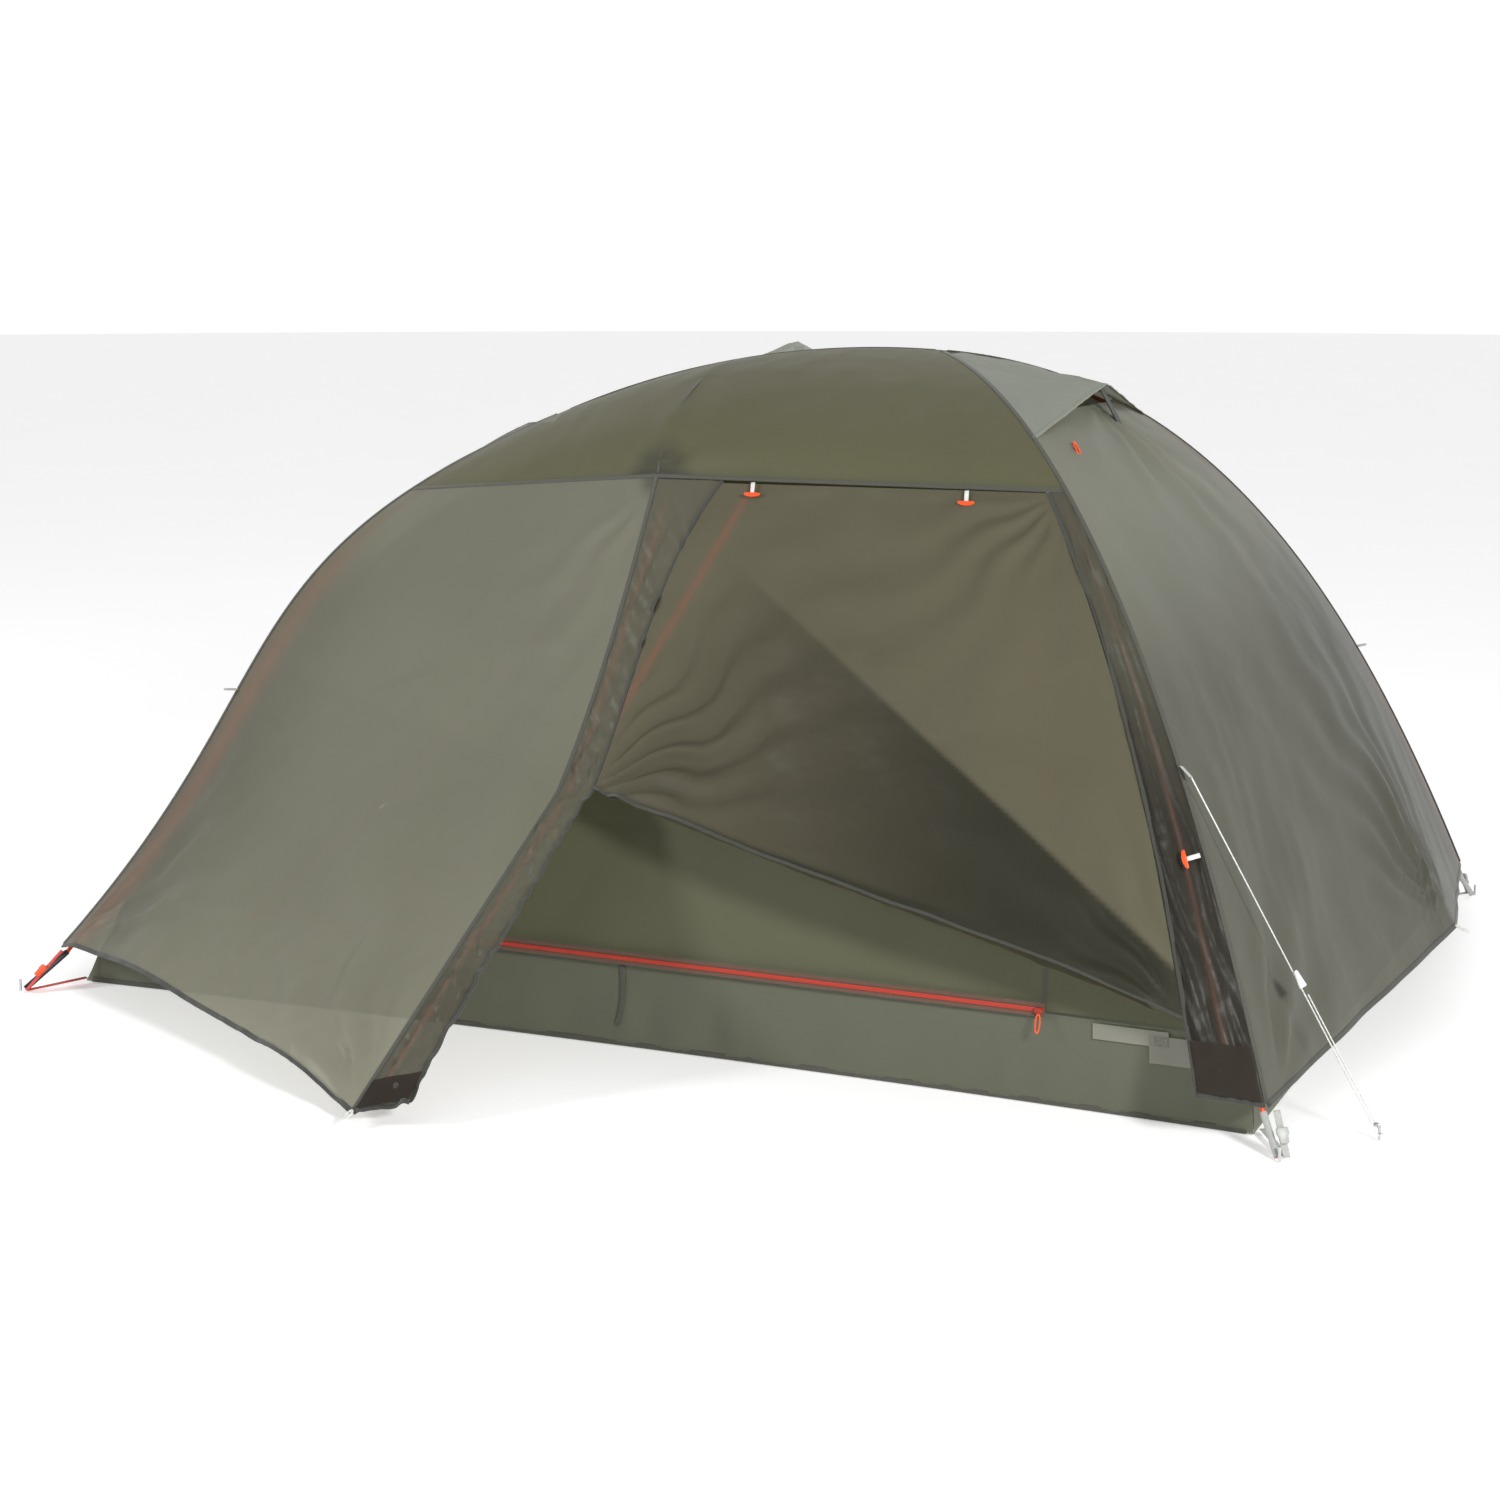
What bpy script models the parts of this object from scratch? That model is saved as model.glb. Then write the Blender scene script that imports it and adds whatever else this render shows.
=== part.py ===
"""A two-door backpacking tent, pitched on its hubbed poles with the rainfly on.

Metres, +Z up. The origin is on the ground under the middle of the tent. X runs
from the foot end (-X) to the head end (+X), and the near door faces -Y. Cloth is
modelled as thin closed panels, one for each sewn panel, and every panel hangs on
the same few lines: the ridge, the four pole legs, the brow pole, the vestibule
edge and the hems.
"""

from math import cos, pi, radians, sin

import bmesh
import bpy
from mathutils import Matrix, Vector

# ---------------------------------------------------------------- dimensions

# Floor
FLOOR_LENGTH = 2.315
FLOOR_WIDTH = 1.70
TUB_HEIGHT = 0.160
TUB_HEAD_LEAN = (0.012, 0.000)
TUB_FOOT_LEAN = (0.065, 0.050)
TUB_BOW = 0.035
TUB_TOP_BOW = 0.008
TUB_SKIN = 0.003

# Pole frame
HEAD_HUB_X = 0.295
HEAD_HUB_HEIGHT = 1.219
FOOT_HUB_X = -0.522
FOOT_HUB_HEIGHT = 1.083
BROW_X = -0.118
RIDGE_RISE = 0.046
RIDGE_HEIGHT = (HEAD_HUB_HEIGHT + FOOT_HUB_HEIGHT) / 2 + RIDGE_RISE
BROW_HALF_SPAN = 0.413
BROW_DROP = 0.2055
BROW_END_HEIGHT = RIDGE_HEIGHT - BROW_DROP
BROW_SHOULDER = 0.33
BROW_SHOULDER_DROP = 0.012
POLE_RADIUS = 0.0045
BROW_POLE_RADIUS = 0.0040
TIP_REACH_X = 0.0625
TIP_REACH_Y = 0.105

# Each leg leaves its hub at a heading, with a fall, and meets the ground with a lean
HEAD_LEG = {"heading": 52.0, "fall": 0.08, "reach": 0.648, "rise": 0.626, "lean": 0.512}
FOOT_LEG = {"heading": 45.2, "fall": 0.363, "reach": 0.748, "rise": 0.498, "lean": 1.026}

# Rainfly
FLY_CORNER_HEIGHT = 0.080
HEAD_LAP_X = 0.0375
HEAD_LAP_Y = 0.081
FOOT_LAP_X = 0.0225
FOOT_LAP_Y = 0.039
SEAM_ON_FOOT_LEG = 0.19
SEAM_ON_HEAD_LEG = 0.38
END_LOOP_OUT = 0.1745
END_LOOP_REACH = FLOOR_LENGTH / 2 + END_LOOP_OUT
END_HEM_RISE = 0.090
VESTIBULE_X = -0.212
VESTIBULE_DEPTH = 0.539
VESTIBULE_REACH = FLOOR_WIDTH / 2 + VESTIBULE_DEPTH
VESTIBULE_HEM = 0.020
KNEE = 0.47
KNEE_REACH = 0.361
KNEE_HEIGHT = 0.443
BROW_PULL_REACH = 0.194
BROW_PULL_HEIGHT = 0.625
HEM_LIFT = 0.038
CLOTH = 0.0015
SEAM_GAP = 0.0040

# Door of the near vestibule, unzipped at the foot side, its corner folded up inside
FOLD_TOP = 0.475
FOLD_FOOT = 0.90
DOOR_TIP = (0.24, 0.12)
CORNER_FOLD_DEPTH = 0.014

# Vents
HOOD_BASE = 0.285
HOOD_REACH = 0.336
HOOD_DROP = 0.057
HOOD_TIP_X = HEAD_HUB_X + HOOD_REACH
HOOD_TIP_HEIGHT = HEAD_HUB_HEIGHT - HOOD_DROP
FAR_HOOD_FOOT = 0.38
FAR_HOOD_HEAD = 0.62
FAR_HOOD_TOP = 0.14
FAR_HOOD_EDGE = 0.52
FAR_HOOD_RISE = 0.080
FAR_HOOD_LIFT = 0.005

# Inner tent
INNER_DROP = 0.060
INNER_GAP = 0.050
INNER_DOOR_HEAD = 0.845
INNER_DOOR_FOOT = 0.13
INNER_DOOR_TOP = 0.06
INNER_DOOR_GAP = 0.005
INNER_ZIP_OUT = 0.006

# Poles, hubs and clip under the fly
POLE_INSET = POLE_RADIUS + 0.0095
RIDGE_INSET = POLE_RADIUS + 0.0205
BROW_INSET = BROW_POLE_RADIUS + 0.007
HUB_RADIUS = 0.016
HUB_HEIGHT = 0.014
FIT_GAP = 0.0005
SWIVEL = 0.014

# Zips and sliders
ZIP_WIDTH = 0.008
ZIP_THICKNESS = 0.002
ZIP_DEPTH = 0.008
ZIP_ASIDE = 0.014
HEAD_ZIP_DEPTH = 0.014
SLIDER_LENGTH = 0.016
SLIDER_HEIGHT = 0.004
SLIDER = (SLIDER_LENGTH, 0.010, SLIDER_HEIGHT)
HEAD_SLIDER_AT = 0.935

# Straps, toggles and buckles
WEBBING = 0.012
WEBBING_THICKNESS = 0.0016
STRAP_SIDE_STEP = 0.014
BUCKLE = (0.026, 0.020, 0.007)
TOGGLE_STRAP = 0.022
TOGGLE_BAR = 0.033
TOGGLE_OUT = 0.006
TOGGLE_FOOT_X = 0.089
TOGGLE_HEAD_X = 0.515
STRUT_WIDTH = 0.024

# Guy line
GUY_ON_LEG = 0.71
GUY_RADIUS = 0.0012
PEG_OUT = 0.1915
PEG_ASIDE = 0.053
PEG_X = FLOOR_LENGTH / 2 + PEG_OUT
PEG_Y = PEG_ASIDE - FLOOR_WIDTH / 2
PEG_RADIUS = 0.0045
PEG_HEIGHT = 0.030
GUY_LOOP = 0.030
GUY_HOLD_HEIGHT = 0.012
GUY_SPREAD = 0.012
TENSIONER_SHARE = 0.59
TENSIONER_LENGTH = 0.030

# ---------------------------------------------------------------- materials

COLOURS = {
    "fly": ((0.19, 0.20, 0.16), 0.6, 0.0),
    "vent_cloth": ((0.26, 0.29, 0.25), 0.6, 0.0),
    "inner_cloth": ((0.25, 0.27, 0.20), 0.65, 0.0),
    "floor_cloth": ((0.22, 0.25, 0.21), 0.6, 0.0),
    "pole": ((0.72, 0.10, 0.04), 0.35, 0.9),
    "hub": ((0.06, 0.06, 0.06), 0.5, 0.0),
    "zip": ((0.55, 0.05, 0.02), 0.5, 0.0),
    "toggle": ((0.90, 0.13, 0.03), 0.4, 0.0),
    "webbing_red": ((0.70, 0.06, 0.04), 0.7, 0.0),
    "webbing_grey": ((0.45, 0.47, 0.45), 0.7, 0.0),
    "buckle_orange": ((0.85, 0.16, 0.04), 0.4, 0.0),
    "buckle_grey": ((0.42, 0.43, 0.42), 0.4, 0.0),
    "cord": ((0.80, 0.80, 0.78), 0.7, 0.0),
    "peg": ((0.65, 0.66, 0.68), 0.35, 0.9),
    "strut": ((0.05, 0.05, 0.05), 0.8, 0.0),
}


def material(name):
    found = bpy.data.materials.get(name)
    if found:
        return found
    colour, roughness, metallic = COLOURS[name]
    made = bpy.data.materials.new(name)
    made.use_nodes = True
    shader = made.node_tree.nodes["Principled BSDF"]
    shader.inputs["Base Color"].default_value = (*colour, 1.0)
    shader.inputs["Roughness"].default_value = roughness
    shader.inputs["Metallic"].default_value = metallic
    return made


# ---------------------------------------------------------------- lines

NEAR, FAR = -1, 1
HEAD, FOOT = 1, -1
RIDGE_MID = Vector((BROW_X, 0, RIDGE_HEIGHT))
HUBS = {
    HEAD: Vector((HEAD_HUB_X, 0, HEAD_HUB_HEIGHT)),
    FOOT: Vector((FOOT_HUB_X, 0, FOOT_HUB_HEIGHT)),
}
LEGS = {HEAD: HEAD_LEG, FOOT: FOOT_LEG}
LAPS = {HEAD: (HEAD_LAP_X, HEAD_LAP_Y), FOOT: (FOOT_LAP_X, FOOT_LAP_Y)}
LEANS = {HEAD: TUB_HEAD_LEAN, FOOT: TUB_FOOT_LEAN}
SEAM_ON_LEG = {HEAD: SEAM_ON_HEAD_LEG, FOOT: SEAM_ON_FOOT_LEG}


def mix(a, b, share):
    return a + (b - a) * share


def bezier(points, t):
    """A point on the Bezier curve of any degree through its control points."""
    while len(points) > 1:
        points = [a.lerp(b, t) for a, b in zip(points, points[1:])]
    return points[0]


def mirrored(point):
    return Vector((point.x, -point.y, point.z))


def arc_through(a, b, c):
    """Centre, unit axis and angle of the circular arc from a by b to c."""
    ab, ac = b - a, c - a
    normal = ab.cross(ac)
    to_centre = (normal.cross(ab) * ac.length_squared + ac.cross(normal) * ab.length_squared)
    centre = a + to_centre / (2 * normal.length_squared)
    axis = normal.normalized()
    start, end = (a - centre).normalized(), (c - centre).normalized()
    angle = start.angle(end)
    if axis.dot(start.cross(end)) < 0:
        angle = 2 * pi - angle
    return centre, axis, angle


def on_arc(arc, start, share):
    """The point a share of the way along an arc, counted from its start point."""
    centre, axis, angle = arc
    spoke = start - centre
    turn = angle * share
    return centre + spoke * cos(turn) + axis.cross(spoke) * sin(turn)


def fly_corner(end, side):
    lap_x, lap_y = LAPS[end]
    return Vector((end * (FLOOR_LENGTH / 2 + lap_x), side * (FLOOR_WIDTH / 2 + lap_y), FLY_CORNER_HEIGHT))


def floor_corner(end, side):
    return Vector((end * FLOOR_LENGTH / 2, side * FLOOR_WIDTH / 2, 0))


def tub_corner(end, side):
    """The top of the tub at one corner, leaning in with the pole beside it."""
    lean_x, lean_y = LEANS[end]
    return floor_corner(end, side) + Vector((-end * lean_x, -side * lean_y, TUB_HEIGHT))


def pole_tip(end, side):
    return floor_corner(end, side) + Vector((end * TIP_REACH_X, side * TIP_REACH_Y, 0))


def leg_curve(end, side, hub, corner, scale, t):
    shape = LEGS[end]
    heading = radians(shape["heading"])
    away = Vector((end * cos(heading), side * sin(heading), -shape["fall"]))
    back = Vector((hub.x - corner.x, hub.y - corner.y, 0)).normalized()
    up = Vector((back.x * shape["lean"], back.y * shape["lean"], 1))
    controls = [hub, hub + away * shape["reach"] * scale, corner + up * shape["rise"] * scale, corner]
    return bezier(controls, t)


def fly_leg(end, side, t):
    """The seam of the fly over one pole leg, from the hub (0) to the corner (1)."""
    return leg_curve(end, side, HUBS[end], fly_corner(end, side), 1.0, t)


def inner_leg(end, side, t):
    """The inner tent's edge along one pole leg, down to the top of the tub."""
    hub = HUBS[end] - Vector((end * INNER_DROP / 2, 0, INNER_DROP))
    corner = tub_corner(end, side) + Vector((0, 0, SEAM_GAP))
    return leg_curve(end, side, hub, corner, 0.92, t)


def ridge(t):
    """The fly over the ridge pole, from the foot hub (0) to the head hub (1)."""
    peak = RIDGE_MID * 2 - (HUBS[FOOT] + HUBS[HEAD]) / 2
    return bezier([HUBS[FOOT], peak, HUBS[HEAD]], t)


def brow_end(side):
    return Vector((BROW_X, side * BROW_HALF_SPAN, BROW_END_HEIGHT))


def brow(side, t):
    """The fly over the brow pole, from the ridge (0) to its end (1)."""
    shoulder = Vector((BROW_X, side * BROW_SHOULDER, RIDGE_HEIGHT - BROW_SHOULDER_DROP))
    return bezier([ridge(0.5), shoulder, brow_end(side)], t)


def vestibule_peg(side):
    return Vector((VESTIBULE_X, side * VESTIBULE_REACH, VESTIBULE_HEM))


def vestibule_edge(side, t):
    """The zip line from the brow pole's end: a curve to its knee, then straight to the peg."""
    top, foot = brow_end(side), vestibule_peg(side)

    def place(reach, height):
        point = top.lerp(foot, reach)
        point.z = height
        return point

    knee = place(KNEE_REACH, KNEE_HEIGHT)
    if t < KNEE:
        return bezier([top, place(BROW_PULL_REACH, BROW_PULL_HEIGHT), knee], t / KNEE)
    return knee.lerp(foot, (t - KNEE) / (1 - KNEE))


def seam_point(end, side):
    return fly_leg(end, side, SEAM_ON_LEG[end])


def hem_point(start, end, t):
    """A hem hangs in a flat arch between the two points that hold it down."""
    arch = HEM_LIFT * (1 - (2 * t - 1) ** 4)
    return start.lerp(end, t) + Vector((0, 0, arch))


def coons(top, bottom, left, right, u, v):
    """The smooth patch through four edges; u runs left to right, v top to bottom."""
    ruled = top(u) * (1 - v) + bottom(u) * v + left(v) * (1 - u) + right(v) * u
    corners = top(0) * (1 - u) * (1 - v) + top(1) * u * (1 - v)
    corners += bottom(0) * (1 - u) * v + bottom(1) * u * v
    return ruled - corners


# ---------------------------------------------------------------- surfaces


def roof(end, side, u, v):
    """One quarter of the roof: u from the hub's leg to the brow pole, v ridge to seam."""
    hub_share = 0.0 if end == FOOT else 1.0
    return coons(
        lambda s: ridge(mix(hub_share, 0.5, s)),
        lambda s: seam_point(end, side).lerp(brow_end(side), s),
        lambda s: fly_leg(end, side, SEAM_ON_LEG[end] * s),
        lambda s: brow(side, s),
        u, v)


def roof_side(side, u, v):
    """One side of the roof: u from the foot leg over the brow pole to the head leg."""
    if u < 0.5:
        return roof(FOOT, side, u * 2, v)
    return roof(HEAD, side, 2 - u * 2, v)


def foot_panel(side, u, v):
    """The closed half of a vestibule: u from the foot leg to the zip, v seam to hem."""
    return coons(
        lambda s: seam_point(FOOT, side).lerp(brow_end(side), s),
        lambda s: hem_point(fly_corner(FOOT, side), vestibule_peg(side), s),
        lambda s: fly_leg(FOOT, side, mix(SEAM_ON_FOOT_LEG, 1, s)),
        lambda s: vestibule_edge(side, s),
        u, v)


def door_side(side, u, v):
    """The door half of a vestibule: u from the zip to the head leg, v seam to hem."""
    return coons(
        lambda s: brow_end(side).lerp(seam_point(HEAD, side), s),
        lambda s: hem_point(vestibule_peg(side), fly_corner(HEAD, side), s),
        lambda s: vestibule_edge(side, s),
        lambda s: fly_leg(HEAD, side, mix(SEAM_ON_HEAD_LEG, 1, s)),
        u, v)


def smooth(x):
    return x * x * (3 - 2 * x)


def end_wall(end, u, t):
    """A fly end wall: u from the near leg (-1) to the far leg (1), t down the legs."""
    leg = fly_leg(end, NEAR, t)
    lap = END_LOOP_REACH - abs(fly_corner(end, NEAR).x)
    round_share = 1 - u * u
    peak_share = 1 - abs(u)
    crease = smooth(min(1.0, max(0.0, (t - 0.55) / 0.45)))
    swell = mix(round_share, peak_share, crease)
    out = swell * mix(0.035, lap, t ** 1.5)
    rise = swell * END_HEM_RISE * t ** 3
    return Vector((leg.x + end * out, -leg.y * u, leg.z + rise))


def flap_edge(v):
    """The storm flap's free edge, as a share of the way from the zip to the head leg."""
    return 0.045 + 0.13 * (1 - v) ** 10 + 0.03 * sin(pi * v) * (1 - v) + 0.02 * v ** 3


def strip_edge(v):
    """The free edge of the narrow panel beside the head leg."""
    return 0.955 - 0.03 * v


def near_door(a, b):
    """The near door panel: a across, b from the seam down to the folded edge."""
    v = mix(0.006, mix(FOLD_TOP, FOLD_FOOT, a), b)
    u = mix(flap_edge(v) + 0.004, strip_edge(v) - 0.004, a)
    return door_side(NEAR, u, v)


def door_corner(a, b):
    """The door's loose corner, folded up behind it: a along the fold, b towards its tip."""
    v = mix(FOLD_TOP + 0.012, FOLD_FOOT - 0.012, a)
    u = mix(flap_edge(v) + 0.03, strip_edge(v) - 0.03, a)
    tip_u, tip_v = DOOR_TIP
    return door_side(NEAR, mix(u, tip_u, b), mix(v, tip_v, b))


def far_door(a, b):
    """The far door panel, zipped shut down to its hem."""
    v = mix(0.006, 0.998, b)
    u = mix(flap_edge(v) + 0.004, strip_edge(v) - 0.004, a)
    return door_side(FAR, u, v)


def hood(u, s):
    """The head vent's hood: a peaked flap from the hub to its propped tip."""
    t = mix(0.03, HOOD_BASE, s)
    leg = fly_leg(HEAD, NEAR, t)
    crest = HUBS[HEAD].lerp(Vector((HOOD_TIP_X, 0, HOOD_TIP_HEIGHT)), t / HOOD_BASE)
    side = Vector((leg.x, leg.y * -u / max(abs(u), 1e-6), leg.z)) if u else crest
    return crest.lerp(side, abs(u))


def inner_brow(side):
    return brow_end(side) + Vector((0, -side * INNER_GAP, -INNER_DROP / 2))


def inner_top(side, u):
    """The top line of an inner side wall: straight from each leg to the brow's end."""
    foot = inner_leg(FOOT, side, SEAM_ON_FOOT_LEG)
    head = inner_leg(HEAD, side, SEAM_ON_HEAD_LEG)
    brow_share = (BROW_X + FLOOR_LENGTH / 2) / FLOOR_LENGTH
    if u < brow_share:
        return foot.lerp(inner_brow(side), u / brow_share)
    return inner_brow(side).lerp(head, (u - brow_share) / (1 - brow_share))


def inner_bottom(side, u):
    foot, head = inner_leg(FOOT, side, 1), inner_leg(HEAD, side, 1)
    bow = TUB_TOP_BOW * (1 - (2 * u - 1) ** 2)
    return foot.lerp(head, u) - Vector((0, side * bow, 0))


def inner_side(side, u, v):
    """An inner side wall: u from the foot leg to the head leg, v down to the tub."""
    return coons(
        lambda s: inner_top(side, s),
        lambda s: inner_bottom(side, s),
        lambda s: inner_leg(FOOT, side, mix(SEAM_ON_FOOT_LEG, 1, s)),
        lambda s: inner_leg(HEAD, side, mix(SEAM_ON_HEAD_LEG, 1, s)),
        u, v)


def door_cut(u, v):
    """Bends the wall's columns so that two of them follow the inner door's edges."""
    brow_share = (BROW_X + FLOOR_LENGTH / 2) / FLOOR_LENGTH
    foot = mix(brow_share + 0.01, INNER_DOOR_FOOT, v)
    head = mix(0.93, INNER_DOOR_HEAD, v)
    if u < 1:
        return mix(0, foot, u)
    if u < 2:
        return mix(foot, head, u - 1)
    return mix(head, 1, u - 2)


def inner_ridge(u):
    """The inner tent's ridge line, below the ridge pole."""
    return inner_leg(FOOT, NEAR, 0).lerp(inner_leg(HEAD, NEAR, 0), u) + Vector((0, 0, 0.035 * sin(pi * u)))


def inner_roof(u, w):
    """The inner roof: u foot to head, w from the near top line (-1) to the far one (1)."""
    side = NEAR if w < 0 else FAR
    point = coons(
        inner_ridge,
        lambda s: inner_top(side, s),
        lambda s: inner_leg(FOOT, side, SEAM_ON_FOOT_LEG * s),
        lambda s: inner_leg(HEAD, side, SEAM_ON_HEAD_LEG * s),
        u, abs(w))
    return point


def inner_end(end, u, t):
    leg = inner_leg(end, NEAR, t)
    return Vector((leg.x + end * 0.02 * (1 - u * u) * sin(pi * t), -leg.y * u, leg.z))


# ---------------------------------------------------------------- solids


def put_origin(thing, point):
    """Moves a piece's origin onto its joint, leaving the piece where it is."""
    thing.data.transform(Matrix.Translation(-point))
    thing.location = point


def add_mesh(name, vertices, faces, colour):
    mesh = bpy.data.meshes.new(name)
    mesh.from_pydata([tuple(v) for v in vertices], [], faces)
    mesh.materials.append(material(colour))
    shape = bmesh.new()
    shape.from_mesh(mesh)
    bmesh.ops.recalc_face_normals(shape, faces=shape.faces)
    shape.to_mesh(mesh)
    shape.free()
    thing = bpy.data.objects.new(name, mesh)
    bpy.context.scene.collection.objects.link(thing)
    return thing


def steps(low, high, count):
    return [mix(low, high, i / count) for i in range(count + 1)]


def cloth(name, colour, surface, across, down, missing=lambda i, j: False, depth=0.0):
    """A sewn panel: a grid on a surface, given the cloth's thickness both ways.

    across and down list the surface's u and v values; missing(i, j) leaves a cell
    out, for a doorway; depth moves the panel in towards the tent.
    """
    rows = [[surface(u, v) for u in across] for v in down]
    wide, high = len(across), len(down)

    def normal(j, i):
        right = rows[j][min(i + 1, wide - 1)] - rows[j][max(i - 1, 0)]
        below = rows[min(j + 1, high - 1)][i] - rows[max(j - 1, 0)][i]
        return right.cross(below).normalized()

    middle = rows[high // 2][wide // 2]
    outward = normal(high // 2, wide // 2)
    sign = 1 if outward.dot(middle - Vector((0, 0, 0.3))) > 0 else -1
    front, back = [], []
    for j in range(high):
        for i in range(wide):
            out = normal(j, i) * sign
            front.append(rows[j][i] + out * (CLOTH / 2 - depth))
            back.append(rows[j][i] - out * (CLOTH / 2 + depth))
    cells = [(i, j) for j in range(high - 1) for i in range(wide - 1) if not missing(i, j)]
    faces, edges = [], {}
    shift = wide * high
    for i, j in cells:
        ring = [j * wide + i, j * wide + i + 1, (j + 1) * wide + i + 1, (j + 1) * wide + i]
        a, b, c, d = ring
        for corners in ((a, b, c), (a, c, d)):
            faces.append(list(corners))
            faces.append([k + shift for k in reversed(corners)])
        for a, b in zip(ring, ring[1:] + ring[:1]):
            key = (min(a, b), max(a, b))
            edges[key] = None if key in edges else (a, b)
    for pair in edges.values():
        if pair:
            a, b = pair
            faces.append([b, a, a + shift, b + shift])
    used = sorted({k for face in faces for k in face})
    place = {k: n for n, k in enumerate(used)}
    points = front + back
    vertices = [points[k] for k in used]
    return add_mesh(name, vertices, [[place[k] for k in face] for face in faces], colour)


def tube(name, colour, points, radius):
    """A pole or a cord: a round tube along a line of points, with closed ends."""
    curve = bpy.data.curves.new(name, "CURVE")
    curve.dimensions = "3D"
    curve.bevel_depth = radius
    curve.bevel_resolution = 2
    curve.use_fill_caps = True
    spline = curve.splines.new("POLY")
    spline.points.add(len(points) - 1)
    for knot, point in zip(spline.points, points):
        knot.co = (*point, 1.0)
    curve.materials.append(material(colour))
    thing = bpy.data.objects.new(name, curve)
    bpy.context.scene.collection.objects.link(thing)
    return thing


def ribbon(name, colour, points, width_way, width, thickness):
    """A flat strap along a line of points; width_way points across the strap."""
    wide = width_way.normalized() * width / 2
    vertices = []
    for i, point in enumerate(points):
        before, after = points[max(i - 1, 0)], points[min(i + 1, len(points) - 1)]
        along = (after - before).normalized()
        thick = along.cross(wide).normalized() * thickness / 2
        vertices += [point - wide - thick, point + wide - thick, point + wide + thick, point - wide + thick]
    faces = [[3, 2, 1, 0]]
    for i in range(len(points) - 1):
        for k in range(4):
            a, b = 4 * i + k, 4 * i + (k + 1) % 4
            faces.append([a, b, b + 4, a + 4])
    last = 4 * (len(points) - 1)
    faces.append([last, last + 1, last + 2, last + 3])
    return add_mesh(name, vertices, faces, colour)


def block(name, colour, centre, x_way, y_way, size, taper=1.0):
    """A bevelled block on its own axes; taper narrows its far end along x_way."""
    x_way = x_way.normalized()
    z_way = x_way.cross(y_way).normalized()
    y_way = z_way.cross(x_way)
    vertices = []
    for sx in (-1, 1):
        for sy, sz in ((-1, -1), (1, -1), (1, 1), (-1, 1)):
            narrow = taper if sx > 0 else 1.0
            corner = x_way * (sx * size[0] / 2) + y_way * (sy * narrow * size[1] / 2)
            vertices.append(centre + corner + z_way * (sz * size[2] / 2))
    faces = [[0, 1, 2, 3], [7, 6, 5, 4], [0, 4, 5, 1], [1, 5, 6, 2], [2, 6, 7, 3], [3, 7, 4, 0]]
    thing = add_mesh(name, vertices, faces, colour)
    bevel = thing.modifiers.new("edges", "BEVEL")
    bevel.width = min(size) * 0.2
    bevel.segments = 1
    return thing


def disc(name, colour, centre, radius, height, sides=16):
    """A short upright cylinder with softened rims."""
    vertices, faces = [], []
    rims = ((0.86, -0.5), (1.0, -0.3), (1.0, 0.3), (0.86, 0.5))
    for share, level in rims:
        for k in range(sides):
            turn = 2 * pi * k / sides
            spoke = Vector((cos(turn), sin(turn), 0)) * radius * share
            vertices.append(centre + spoke + Vector((0, 0, level * height)))
    for ring in range(len(rims) - 1):
        for k in range(sides):
            a, b = ring * sides + k, ring * sides + (k + 1) % sides
            faces.append([a, b, b + sides, a + sides])
    faces.append(list(range(sides))[::-1])
    faces.append([(len(rims) - 1) * sides + k for k in range(sides)])
    return add_mesh(name, vertices, faces, colour)


# ---------------------------------------------------------------- pole frame


def under_fly(point, depth):
    """A point moved in from the fly towards the middle of the tent."""
    middle = Vector((point.x * 0.35, 0, 0.45))
    return point + (middle - point).normalized() * depth


def hub_centre(end):
    return HUBS[end] - Vector((0, 0, RIDGE_INSET))


def trimmed(points, centre, clearance):
    """Drops the points nearer to a hub than its wall, and starts the tube just clear of it."""
    kept = [p for p in points if (p - centre).length > clearance]
    away = (kept[0] - centre).normalized()
    return [centre + away * clearance] + kept


def under_corner(end, side):
    """Where a leg passes below and inside the corner of the fly, on its way to the ground."""
    corner = fly_corner(end, side)
    out = pole_tip(end, side) - corner
    out.z = 0
    return corner - out.normalized() * POLE_INSET * 0.7 - Vector((0, 0, POLE_INSET))


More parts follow.
